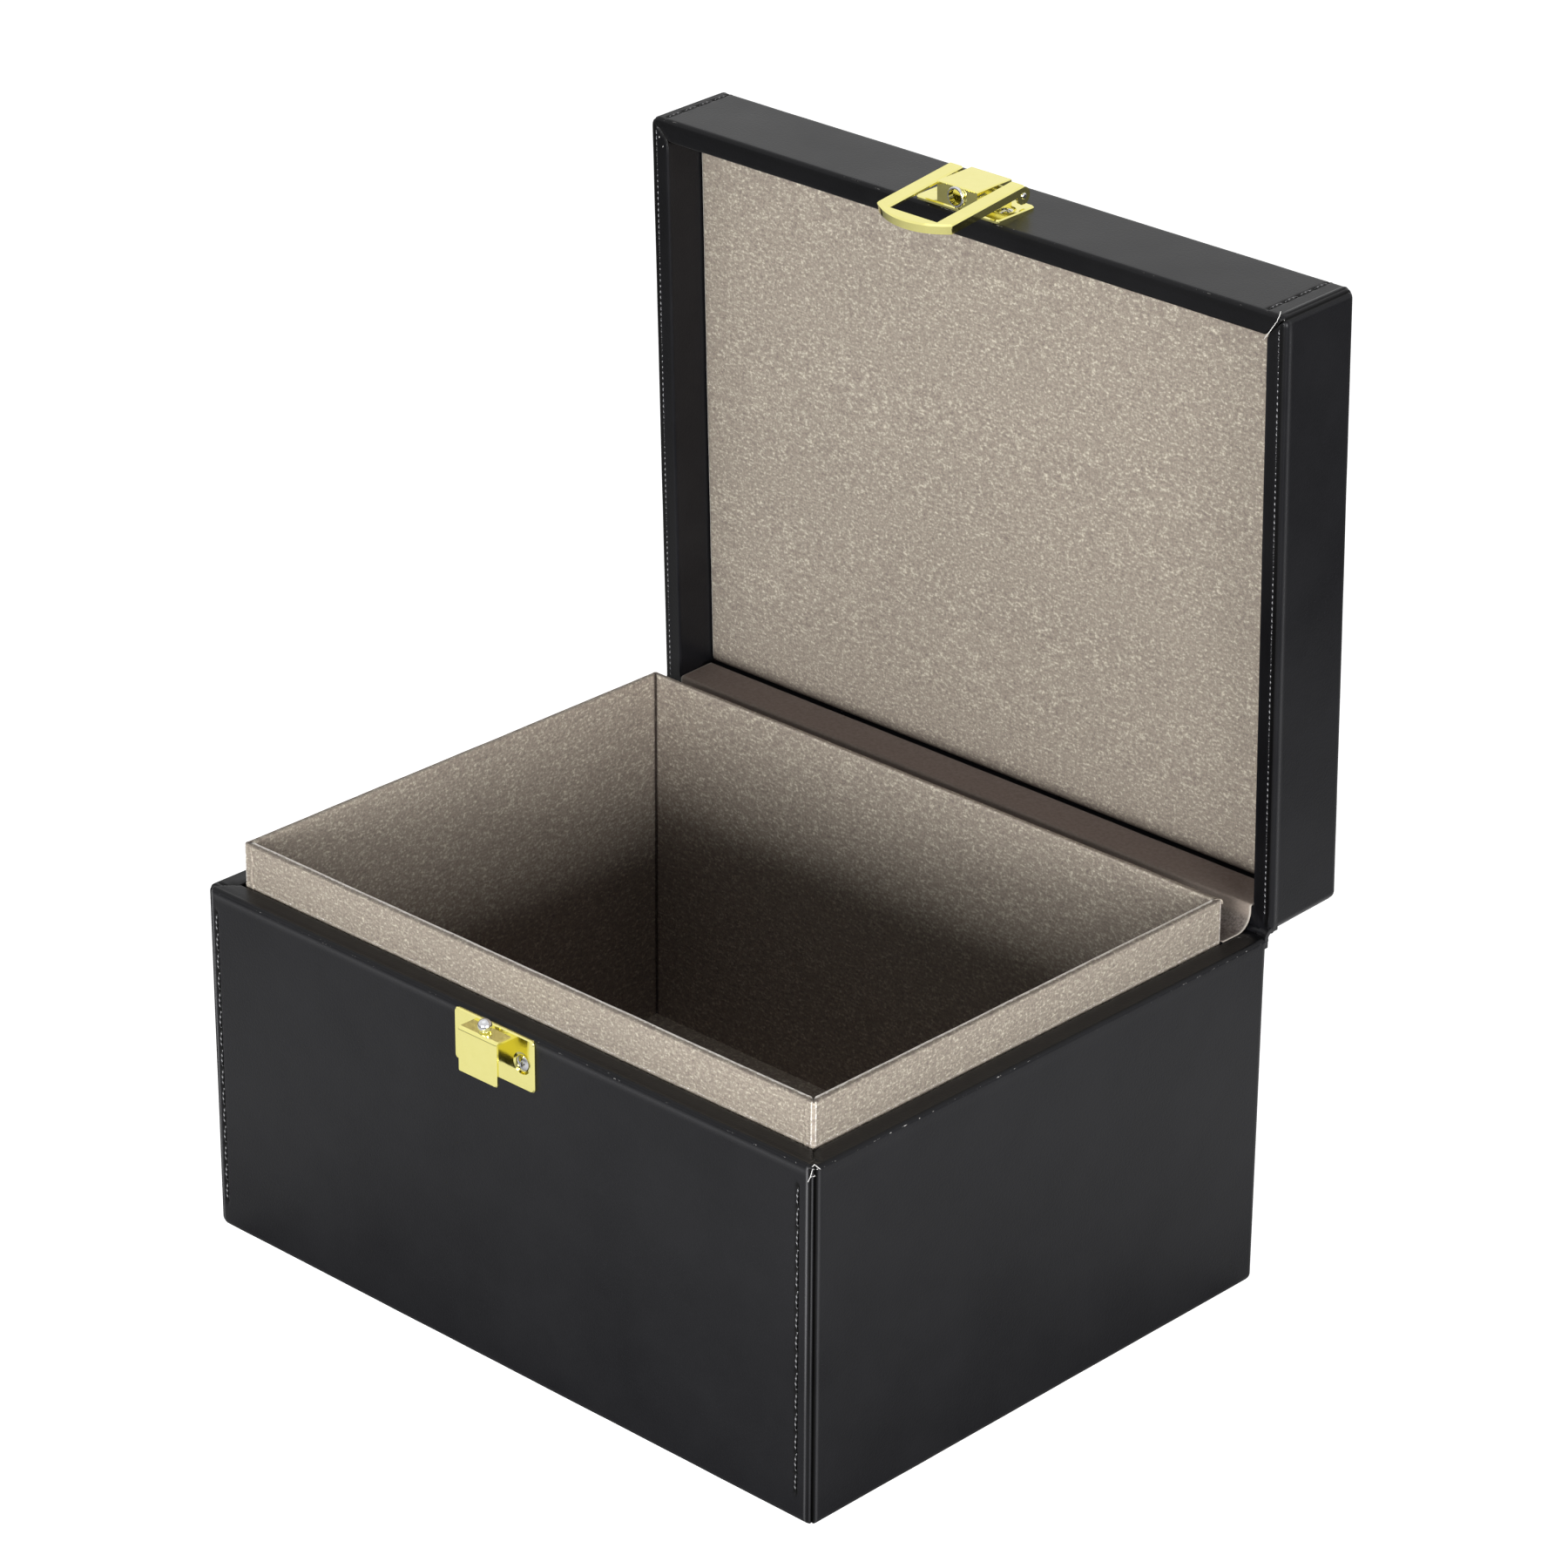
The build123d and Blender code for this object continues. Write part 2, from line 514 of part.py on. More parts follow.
os.makedirs("parts", exist_ok=True)
for name, shape in nodes.items():
    export_step(shape, f"parts/{name}.step")
print(len(nodes), "nodes written")
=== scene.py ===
# %% [markdown]
# # A leather key box with a shielding liner
#
# The box is a frame of boards, and everything that is seen is something soft or bright
# laid over it: black leather outside, a metallic cloth liner inside, and a small gilt
# clasp. The frame is loaded first and is never moved. This lesson dresses it piece by
# piece, and each step says what the real piece is before it makes it.

# %% Load the frame
import json
from math import cos, pi, radians, sin, sqrt

import bmesh
import bpy
import numpy as np
from mathutils import Matrix, Vector

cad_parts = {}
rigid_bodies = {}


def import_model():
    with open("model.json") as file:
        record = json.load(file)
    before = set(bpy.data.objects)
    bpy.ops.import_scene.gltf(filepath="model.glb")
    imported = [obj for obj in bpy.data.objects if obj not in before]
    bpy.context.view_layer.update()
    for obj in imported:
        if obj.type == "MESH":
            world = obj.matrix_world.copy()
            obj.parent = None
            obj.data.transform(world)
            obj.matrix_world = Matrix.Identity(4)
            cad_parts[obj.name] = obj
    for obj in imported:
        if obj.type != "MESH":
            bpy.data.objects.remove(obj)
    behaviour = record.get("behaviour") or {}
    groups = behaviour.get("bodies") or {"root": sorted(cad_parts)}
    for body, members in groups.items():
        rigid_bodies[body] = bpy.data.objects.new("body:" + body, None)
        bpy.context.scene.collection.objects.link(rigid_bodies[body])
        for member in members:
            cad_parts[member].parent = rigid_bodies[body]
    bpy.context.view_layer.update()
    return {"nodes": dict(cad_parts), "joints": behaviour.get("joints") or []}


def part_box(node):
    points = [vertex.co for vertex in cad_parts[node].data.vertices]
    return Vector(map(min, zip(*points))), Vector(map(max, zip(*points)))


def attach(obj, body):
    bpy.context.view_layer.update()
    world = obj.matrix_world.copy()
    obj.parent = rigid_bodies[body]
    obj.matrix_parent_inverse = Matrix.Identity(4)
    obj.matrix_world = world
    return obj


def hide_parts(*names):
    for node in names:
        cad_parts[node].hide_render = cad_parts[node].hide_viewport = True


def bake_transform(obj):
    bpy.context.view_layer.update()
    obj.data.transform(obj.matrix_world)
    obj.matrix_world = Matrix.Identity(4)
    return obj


for leftover in list(bpy.data.objects):
    bpy.data.objects.remove(leftover)
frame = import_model()
nodes = frame["nodes"]
scene = bpy.context.scene
MM = 0.001

# %% [markdown]
# ## Sizes to work from
#
# The pieces could be placed by eye, but they have to sit on the boards within a hair, so
# the box's own sizes are written down once, in millimetres, and checked against the
# frame. The lid stands open. It is easier to draw shut, so its pieces are drawn shut and
# turned open with one matrix, about the line of the real hinge.

# %% The maker's sizes
half_w, half_d = 100.0, 78.0             # outside of the leather
foot_z, rim_z = 0.2, 92.8                # its lowest and highest line on the base
lid_rim_z, lid_top_z = 93.5, 118.7       # the same on the shut lid
corner_r, foot_r, rim_r, inner_r = 2.6, 2.4, 1.1, 0.5
leather_t, base_wall, lid_wall = 0.8, 6.1, 5.7
turn_in, under_turn, spine_leg, spine_end = 14.0, 8.0, 8.0, 2.7
liner_x, liner_front, liner_back = 93.3, -71.3, 68.0
liner_wall, liner_top, liner_floor, cloth_drop = 1.8, 104.0, 7.3, 72.8
liner_r, cloth_t = 0.5, 0.3
recess_depth, lining_t, lining_gap = 10.8, 2.6, 0.2

hinge = next(joint for joint in frame["joints"] if joint["name"] == "lid_hinge")
hinge_point = Vector(hinge["pos_m"])
lean = radians(hinge["range_deg"][1])    # how far the lid stands open
lid_open = Matrix.Translation(hinge_point) @ Matrix.Rotation(-lean, 4, "X") @ Matrix.Translation(-hinge_point)
leather_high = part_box("base_right_leather")[1] / MM
print(f"the frame's leather ends {leather_high.x - half_w:+.3f} mm past the right face written here,")
print(f"and {leather_high.z - rim_z:+.3f} mm above the rim")

# %% [markdown]
# ## The camera
#
# A long lens from the front right, about 1.4 m away and 25 degrees up, keeps the upright
# edges nearly parallel. The aim could be found by hand with the view tools; here the
# three angles, the distance and a small slide are written down, so it never drifts.

# %% Camera
azimuth, elevation, roll = radians(43.44), radians(25.29), radians(0.36)
distance, slide_x, slide_y = 1388.73, 12.04, 41.64
forward = Vector((-sin(azimuth) * cos(elevation), cos(azimuth) * cos(elevation), -sin(elevation)))
level = forward.cross(Vector((0, 0, 1))).normalized()
upward = level.cross(forward)
right = level * cos(roll) + upward * sin(roll)
above = upward * cos(roll) - level * sin(roll)
middle = Vector((0, 0, 80))
place = middle - forward * distance + right * slide_x + above * slide_y
camera_data = bpy.data.cameras.new("camera")
sensor_width, focal_pixels, frame_pixels = 36, 6700.24, 1800       # the first is in millimetres
camera_data.sensor_width = sensor_width
camera_data.lens = sensor_width * focal_pixels / frame_pixels
camera_data.clip_start, camera_data.clip_end = 0.05, 20
camera = bpy.data.objects.new("camera", camera_data)
scene.collection.objects.link(camera)
camera.matrix_world = Matrix.Translation(place * MM) @ Matrix((right, above, -forward)).transposed().to_4x4()
scene.camera = camera
print(f"camera at {[round(c) for c in place]} mm, lens {camera_data.lens:.1f} mm")

# %% [markdown]
# ## Effects that several finishes share
#
# Leather, cloth and board are all made of small repeated marks. Painting an image of them
# would fix their size and show seams, so each mark is a small group of nodes that reads
# the piece's own coordinates. A group only gives out a mask or a height; the shader that
# uses it stays in the material.

# %% Helpers for node groups
def new_group(name, inputs, outputs):
    """An empty shader node group with named float sockets, and its input and output nodes."""
    group = bpy.data.node_groups.new(name, "ShaderNodeTree")
    for label, value in inputs.items():
        group.interface.new_socket(label, in_out="INPUT", socket_type="NodeSocketFloat").default_value = value
    for label in outputs:
        group.interface.new_socket(label, in_out="OUTPUT", socket_type="NodeSocketFloat")
    return group, group.nodes.new("NodeGroupInput"), group.nodes.new("NodeGroupOutput")


def add(tree, kind, **settings):
    """A node of that kind, with its settings made."""
    node = tree.nodes.new(kind)
    for label, value in settings.items():
        setattr(node, label, value)
    return node


def give(tree, socket, value):
    """Give an input a number, a colour or what another node puts out."""
    if isinstance(value, bpy.types.NodeSocket):
        tree.links.new(value, socket)
    elif isinstance(value, tuple):
        socket.default_value = (*value, 1)
    else:
        socket.default_value = value


def maths(tree, operation, first, second):
    """A Math node; each side is a number or what another node puts out."""
    node = add(tree, "ShaderNodeMath", operation=operation)
    give(tree, node.inputs[0], first)
    give(tree, node.inputs[1], second)
    return node.outputs[0]


def spread(tree, value, low, high, new_low=0.0, new_high=1.0):
    """Stretch a value from one range to another, held at its ends."""
    node = add(tree, "ShaderNodeMapRange")
    labels = ("Value", "From Min", "From Max", "To Min", "To Max")
    for label, number in zip(labels, (value, low, high, new_low, new_high)):
        give(tree, node.inputs[label], number)
    return node.outputs["Result"]


def noise_at(tree, vector, scale, detail=2.0, roughness=0.5):
    """A Noise node on the piece's coordinates; the scale is in cycles per metre."""
    node = add(tree, "ShaderNodeTexNoise")
    for label, value in zip(("Vector", "Scale", "Detail", "Roughness"), (vector, scale, detail, roughness)):
        give(tree, node.inputs[label], value)
    return node.outputs[0]


def own_place(tree):
    """The piece's own coordinates, which stay with it when it moves."""
    return add(tree, "ShaderNodeTexCoord").outputs["Object"]


print("node helpers ready")

# %% [markdown]
# ### Leather grain
#
# Calf leather with a plate finish has a faint net of creases round flat pebbles under
# half a millimetre wide. A single noise looks like plaster. Cells give the net, and a
# broader noise makes some patches smoother than others, as pressing does.

# %% Leather grain group
grain_inputs = {"Cells per metre": 2100.0, "Patchiness": 0.5}
grain_group, g_in, g_out = new_group("leather grain", grain_inputs, ["Height", "Patch"])
where = own_place(grain_group)
cells = add(grain_group, "ShaderNodeTexVoronoi", feature="SMOOTH_F1")
give(grain_group, cells.inputs["Vector"], where)
give(grain_group, cells.inputs["Scale"], g_in.outputs["Cells per metre"])
pebble = spread(grain_group, cells.outputs["Distance"], 0.1, 0.75, 1.0, 0.0)
fine = noise_at(grain_group, where, 5200.0, 2)
patch = spread(grain_group, noise_at(grain_group, where, 38.0, 3, 0.6), 0.3, 0.7)
pressed_flat = maths(grain_group, "MULTIPLY", patch, g_in.outputs["Patchiness"])
kept = maths(grain_group, "SUBTRACT", 1.0, pressed_flat)
height = maths(grain_group, "ADD", pebble, maths(grain_group, "MULTIPLY", fine, 0.35))
give(grain_group, g_out.inputs["Height"], maths(grain_group, "MULTIPLY", height, kept))
give(grain_group, g_out.inputs["Patch"], patch)
print("group:", grain_group.name, "nodes:", len(grain_group.nodes))

# %% [markdown]
# ### Metallic cloth
#
# The shielding cloth is a fine weave of silvered threads. Close to, it is a sparkle of
# light and dark specks a few tenths of a millimetre wide, drawn out a little along the
# weft. Two noises of different size, one stretched sideways, give the specks, and their
# sum gives the thread height.

# %% Metallic cloth group
cloth_inputs = {"Specks per metre": 1500.0, "Weft": 0.45}
cloth_group, c_in, c_out = new_group("metallic cloth", cloth_inputs, ["Speck", "Height", "Cloud"])
where = own_place(cloth_group)
stretch = add(cloth_group, "ShaderNodeMapping")
stretch.inputs["Scale"].default_value = (0.42, 0.42, 1.0)
give(cloth_group, stretch.inputs["Vector"], where)
weft = noise_at(cloth_group, stretch.outputs[0], c_in.outputs["Specks per metre"], 2, 0.6)
round_speck = noise_at(cloth_group, where, c_in.outputs["Specks per metre"], 3, 0.7)
weft_part = maths(cloth_group, "MULTIPLY", weft, c_in.outputs["Weft"])
round_share = maths(cloth_group, "SUBTRACT", 1.0, c_in.outputs["Weft"])
both = maths(cloth_group, "ADD", weft_part, maths(cloth_group, "MULTIPLY", round_speck, round_share))
give(cloth_group, c_out.inputs["Speck"], spread(cloth_group, both, 0.34, 0.66))
give(cloth_group, c_out.inputs["Height"], both)
give(cloth_group, c_out.inputs["Cloud"], spread(cloth_group, noise_at(cloth_group, where, 22.0), 0.3, 0.7))
print("group:", cloth_group.name, "nodes:", len(cloth_group.nodes))

# %% [markdown]
# ### Worn edges
#
# Where a corner rubs, the black coat goes first at the very edge, in broken flecks. The
# mesh says where an edge rubs, with a number from 0 to 1 stored on its points, and this
# group breaks that number up with noise. Leather and cloth both use it, and on both the
# same number also carries painted highlights: small glints on the leather's rim edges and
# pale lines along the liner's edges.

# %% Worn edge group
worn_inputs = {"Exposed": 0.0, "Flecks per metre": 900.0, "Break up": 0.6}
worn_group, w_in, w_out = new_group("worn edge", worn_inputs, ["Worn"])
where = own_place(worn_group)
fleck = noise_at(worn_group, where, w_in.outputs["Flecks per metre"], 3, 0.7)
lost = maths(worn_group, "MULTIPLY", spread(worn_group, fleck, 0.35, 0.65), w_in.outputs["Break up"])
broken = maths(worn_group, "SUBTRACT", w_in.outputs["Exposed"], lost)
give(worn_group, w_out.inputs["Worn"], spread(worn_group, broken, 0.18, 0.42))
print("group:", worn_group.name, "nodes:", len(worn_group.nodes))

# %% [markdown]
# ## Finishes
#
# One material for each thing that the maker buys: leather, thread, cloth, the strip over
# the hinge, gilt brass, steel, board, foam and the paper under the foot. Each is one
# Principled shader with its colour, roughness and bump from the groups above.

# %% Helpers for materials
def new_material(name, colour, roughness, metallic=0.0, specular=0.5):
    """A material with one Principled shader; gives the material, its tree and the shader."""
    material = bpy.data.materials.new(name)
    material.use_nodes = True
    shader = material.node_tree.nodes["Principled BSDF"]
    shader.inputs["Base Color"].default_value = (*colour, 1)
    shader.inputs["Roughness"].default_value = roughness
    shader.inputs["Metallic"].default_value = metallic
    shader.inputs["Specular IOR Level"].default_value = specular
    return material, material.node_tree, shader


def use_group(tree, group, **values):
    """Place a node group in a material with its own values."""
    node = add(tree, "ShaderNodeGroup", node_tree=group)
    for label, value in values.items():
        give(tree, node.inputs[label.replace("_", " ")], value)
    return node


def mix_colour(tree, factor, first, second):
    """A colour between two others; each is an RGB triple or what another node puts out."""
    node = add(tree, "ShaderNodeMix", data_type="RGBA")
    colour_in, colour_out = (0, 6, 7), 2           # where an RGBA Mix node has its sockets
    for socket, value in zip(colour_in, (factor, first, second)):
        give(tree, node.inputs[socket], value)
    return node.outputs[colour_out]


def bump(tree, shader, height, depth):
    """Feed a height into the shader's Normal; depth is in metres."""
    node = add(tree, "ShaderNodeBump")
    give(tree, node.inputs["Strength"], 1.0)
    give(tree, node.inputs["Distance"], depth)
    give(tree, node.inputs["Height"], height)
    give(tree, shader.inputs["Normal"], node.outputs["Normal"])


def on_mesh(tree, label):
    """A number that the mesh stores on its points."""
    return add(tree, "ShaderNodeAttribute", attribute_name=label).outputs["Fac"]


print("material helpers ready")

# %% [markdown]
# ### Black leather
#
# The coat is nearly black and half glossy. A smooth black plastic would show a sharp lamp;
# pressed leather spreads it, so the roughness is fairly low and changes with the grain's
# patches. The mesh stores where the sheet is pressed in or stands up. A groove is painted
# darker and duller as shade, and so is the rim, a ridge is painted lighter as a highlight,
# small painted glints fleck the rim edges, and a rubbed corner shows the pale raw side. An
# image for each panel could say the same; reading it off the mesh keeps it on the seams.

# %% Leather
leather, tree, shader = new_material("black leather", (0.006, 0.006, 0.007), 0.4, specular=0.17)
grain = use_group(tree, grain_group, Cells_per_metre=2100.0, Patchiness=0.5)
edge_wear_and_highlight = use_group(tree, worn_group, Exposed=on_mesh(tree, "wear_and_highlight"), Flecks_per_metre=1100.0, Break_up=0.5)
press_shade_and_highlight = on_mesh(tree, "press_shade_and_highlight")
hollow_and_shade, ridge_highlight = spread(tree, press_shade_and_highlight, 0, -1), spread(tree, press_shade_and_highlight, 0, 1)
coat = mix_colour(tree, grain.outputs["Patch"], (0.0050, 0.0050, 0.0062), (0.0080, 0.0080, 0.0094))
# Painted shade darkens the grooves and the rims, and a painted highlight lightens the ridges.
coat = mix_colour(tree, hollow_and_shade, coat, (0.0003, 0.0003, 0.0003))
coat = mix_colour(tree, ridge_highlight, coat, (0.080, 0.080, 0.083))
# Rubbed corners show the raw side; the same mask carries small painted glints on the rim edges.
coat = mix_colour(tree, edge_wear_and_highlight.outputs["Worn"], coat, (0.62, 0.60, 0.58))
give(tree, shader.inputs["Base Color"], coat)
dull, shine = maths(tree, "MULTIPLY", hollow_and_shade, 0.08), maths(tree, "MULTIPLY", ridge_highlight, 0.14)
coat_rough = spread(tree, grain.outputs["Patch"], 0, 1, 0.27, 0.34)
rough = maths(tree, "ADD", coat_rough, maths(tree, "SUBTRACT", dull, shine))
give(tree, shader.inputs["Roughness"], rough)
bump(tree, shader, grain.outputs["Height"], 0.000016)
leather.diffuse_color = (0.02, 0.02, 0.02, 1)
print("material:", leather.name)

# %% Raw leather, where the coat has gone
raw, tree, shader = new_material("raw leather", (0.62, 0.60, 0.58), 0.8, specular=0.2)
hairs = noise_at(tree, own_place(tree), 6000.0, 3)
give(tree, shader.inputs["Base Color"], mix_colour(tree, hairs, (0.42, 0.41, 0.40), (0.80, 0.79, 0.77)))
bump(tree, shader, hairs, 0.00004)
print("material:", raw.name)

# %% [markdown]
# ### Thread
#
# A waxed thread is strands twisted together, and each turn glints. Twisted strands in the
# mesh would cost thousands of faces a stitch, so diagonal bands painted light and dark stand
# for the glints of the twist, and a little bump lifts each band.

# %% Sewing thread
thread, tree, shader = new_material("waxed thread", (0.016, 0.016, 0.018), 0.38, specular=0.55)
strands = add(tree, "ShaderNodeTexWave", wave_type="BANDS", bands_direction="DIAGONAL")
give(tree, strands.inputs["Vector"], own_place(tree))
give(tree, strands.inputs["Scale"], 420)
# The light bands are painted glints of the twist.
painted_glint = spread(tree, strands.outputs["Fac"], 0.55, 0.95)
give(tree, shader.inputs["Base Color"], mix_colour(tree, painted_glint, (0.006, 0.006, 0.007), (0.26, 0.26, 0.27)))
bump(tree, shader, strands.outputs["Fac"], 0.00005)
print("material:", thread.name)

# %% [markdown]
# ### Shielding cloth
#
# Silvered threads woven with brown ones look like sand: dark pits, a grey-brown field and a
# few bright points. A plain metal would mirror the room, and a plain cloth would look like
# card, so it is about a third metal, and the weave group places the specks. A rubbed edge
# is paler, pale lines along the liner's edges are painted highlights, and a crease and the
# tops of the near walls are painted darker as shade.

# %% Shielding cloth
cloth, tree, shader = new_material("shielding cloth", (0.40, 0.36, 0.28), 0.5, metallic=0.3, specular=0.3)
weave = use_group(tree, cloth_group, Specks_per_metre=1500.0, Weft=0.4)
edge_wear_and_highlight = use_group(tree, worn_group, Exposed=on_mesh(tree, "wear_and_highlight"), Flecks_per_metre=1500.0, Break_up=0.35)
speck = weave.outputs["Speck"]
face = mix_colour(tree, weave.outputs["Cloud"], (0.415, 0.370, 0.295), (0.450, 0.400, 0.320))
face = mix_colour(tree, speck, (0.205, 0.168, 0.148), face)
face = mix_colour(tree, spread(tree, speck, 0.62, 1.0), face, (0.64, 0.59, 0.49))
# Pale painted highlights along the liner's edges ride on the same mask as rubbed wear.
face = mix_colour(tree, edge_wear_and_highlight.outputs["Worn"], face, (0.92, 0.88, 0.82))
# Painted shade darkens creases and the tops of the near walls.
face = mix_colour(tree, spread(tree, on_mesh(tree, "press_shade_and_highlight"), 0, -1), face, (0.030, 0.020, 0.018))
# Light that has already met a wall comes back browner and weaker, as between metal threads.
bounced = add(tree, "ShaderNodeLightPath").outputs["Is Diffuse Ray"]
give(tree, shader.inputs["Base Color"], mix_colour(tree, bounced, face, (0.090, 0.048, 0.050)))
give(tree, shader.inputs["Roughness"], spread(tree, speck, 0, 1, 0.64, 0.46))
bump(tree, shader, weave.outputs["Height"], 0.00016)
print("material:", cloth.name)

# %% [markdown]
# ### Satin
#
# The strip over the hinge is smooth where it stands up against the lid. Where it lies on
# the leather, the weave shows coarser. Two mixes of the cloth group give the two, and the
# mesh says which part is lying, and how near the cut end is, where the threads are pale.

# %% Strip over the hinge
satin, tree, shader = new_material("satin strip", (0.13, 0.105, 0.09), 0.55, specular=0.15)
weave = use_group(tree, cloth_group, Specks_per_metre=2600.0, Weft=0.8)
coarse = use_group(tree, cloth_group, Specks_per_metre=1700.0, Weft=0.2)
smooth_part = mix_colour(tree, weave.outputs["Speck"], (0.265, 0.220, 0.188), (0.335, 0.280, 0.238))
coarse_part = mix_colour(tree, coarse.outputs["Speck"], (0.080, 0.064, 0.060), (0.235, 0.205, 0.180))
face = mix_colour(tree, on_mesh(tree, "press_shade_and_highlight"), smooth_part, coarse_part)
face = mix_colour(tree, on_mesh(tree, "wear_and_highlight"), face, (0.60, 0.56, 0.50))
give(tree, shader.inputs["Base Color"], face)
bump(tree, shader, weave.outputs["Height"], 0.00003)
print("material:", satin.name)

# %% [markdown]
# ### Metal
#
# The clasp is thin gilt plate, and its screws and ball are bright steel. Both are plain
# metals whose look comes from what they mirror. Quite flat metal looks like coloured paper,
# so on the gilt a slow noise bends the reflections a little, as pressing does.

# %% Gilt brass
gilt, tree, shader = new_material("gilt brass", (0.86, 0.80, 0.28), 0.1, metallic=1.0)
polish = noise_at(tree, own_place(tree), 320.0, 4, 0.6)
give(tree, shader.inputs["Base Color"], mix_colour(tree, polish, (0.86, 0.80, 0.285), (0.93, 0.87, 0.345)))
give(tree, shader.inputs["Roughness"], spread(tree, polish, 0.3, 0.7, 0.07, 0.14))
bump(tree, shader, noise_at(tree, own_place(tree), 150.0), 0.00006)
print("material:", gilt.name)

# %% Bright steel
steel, tree, shader = new_material("bright steel", (0.66, 0.66, 0.68), 0.12, metallic=1.0)
polish, cloud = noise_at(tree, own_place(tree), 900.0, 3), noise_at(tree, own_place(tree), 400.0)
give(tree, shader.inputs["Base Color"], mix_colour(tree, cloud, (0.55, 0.55, 0.57), (0.74, 0.74, 0.75)))
give(tree, shader.inputs["Roughness"], spread(tree, polish, 0.3, 0.7, 0.08, 0.2))
print("material:", steel.name)

# %% [markdown]
# ### Hidden materials
#
# Board and foam are hidden, and the foot paper is seen only from below, so one texture
# gives each its colour and its bump: fibres in the board, round pores in the foam, and the
# leather's grain, coarser and flatter, in the paper.

# %% Board, foam and foot paper
board, tree, shader = new_material("grey board", (0.30, 0.25, 0.19), 0.85, specular=0.25)
fibre = noise_at(tree, own_place(tree), 1800.0, 5, 0.7)
give(tree, shader.inputs["Base Color"], mix_colour(tree, fibre, (0.22, 0.18, 0.14), (0.38, 0.33, 0.26)))
bump(tree, shader, fibre, 0.00012)
foam, tree, shader = new_material("pad foam", (0.55, 0.55, 0.52), 0.9, specular=0.2)
cells = add(tree, "ShaderNodeTexVoronoi")
give(tree, cells.inputs["Vector"], own_place(tree))
give(tree, cells.inputs["Scale"], 1300)
pores = cells.outputs["Distance"]
give(tree, shader.inputs["Base Color"], mix_colour(tree, pores, (0.30, 0.30, 0.29), (0.62, 0.62, 0.58)))
bump(tree, shader, pores, 0.0003)
foot_paper, tree, shader = new_material("foot paper", (0.02, 0.02, 0.021), 0.8, specular=0.3)
grain = use_group(tree, grain_group, Cells_per_metre=1300.0, Patchiness=0.2)
paper = mix_colour(tree, grain.outputs["Patch"], (0.015, 0.015, 0.016), (0.028, 0.027, 0.027))
give(tree, shader.inputs["Base Color"], paper)
bump(tree, shader, grain.outputs["Height"], 0.00006)
print("materials:", board.name, foam.name, foot_paper.name)

# %% [markdown]
# ## Bent sheets
#
# Nearly every piece here is a sheet folded over a board: it has one profile, and it runs
# along a wall. A modifier on a plane could bend it, but corners, seams and stitch grooves
# need exact places. So a sheet is written as rows along its profile and columns along the
# wall. A row knows where it is, which way its surface looks, and how far it has come in
# from the wall, which is how far its ends are cut back for the mitred corners.

# %% Profiles
def folded(points, radii, thick, step):
    """Walk a line of (depth, height) points with rounded corners; the surface looks to its left.

    Gives one row per step: depth, height, normal depth, normal height, depth and height of
    the sheet's back, and the length walked."""
    rows, length = [], 0.0
    points = [Vector(p) for p in points]
    start = points[0]
    for i in range(len(points) - 1):
        along = (points[i + 1] - points[i]).normalized()
        normal = Vector((-along.y, along.x))
        last = i + 2 == len(points)
        radius, turn = 0.0, 0.0
        if not last:
            after = (points[i + 2] - points[i + 1]).normalized()
            turn = -along.angle_signed(after)
            radius = radii[i]
        end = points[i + 1] - along * (radius * abs(np.tan(turn / 2)))
        count = max(1, int(round((end - start).length / step)))
        for k in range(count + last):
            at = start.lerp(end, k / count)
            rows.append((*at, *normal, *(at - normal * thick), length + (at - start).length))
        length += (end - start).length
        if last:
            break
        convex = turn < 0
        centre = end - normal * radius if convex else end + normal * radius
        next_normal = Vector((-after.y, after.x))
        fan = max(5, int(abs(turn) * radius / 0.12))
        for k in range(fan):
            spin = Matrix.Rotation(turn * k / fan, 2)
            at, looks = centre + spin @ (end - centre), spin @ normal
            if convex and radius < thick:
                back = centre + (radius - thick) * (normal + next_normal) / (1 + normal.dot(next_normal))
            else:
                back = at - looks * thick
            rows.append((*at, *looks, *back, length + abs(turn) * radius * k / fan))
        length += abs(turn) * radius
        start = centre + Matrix.Rotation(turn, 2) @ (end - centre)
    return np.array(rows)


test = folded([(0, 0), (0, 10), (10, 10)], [2], 0.8, 1)
print(f"a 10 + 10 mm fold with a 2 mm corner is {test[-1][6]:.2f} mm long in {len(test)} rows")

# %% [markdown]
# Seen from above, each wall's sheet ends on the 45 degree line of its corner. On the
# upright edges that line runs up the middle of a small radius, and on the rims it is a
# mitre. One function places any row and column of any wall, so neighbours always meet.

# %% Walls
sides = {                                   # the way along each wall, and the way it faces
    "front": ((1, 0), (0, -1)),
    "right": ((0, 1), (1, 0)),
    "back": ((-1, 0), (0, 1)),
    "left": ((0, -1), (-1, 0)),
}


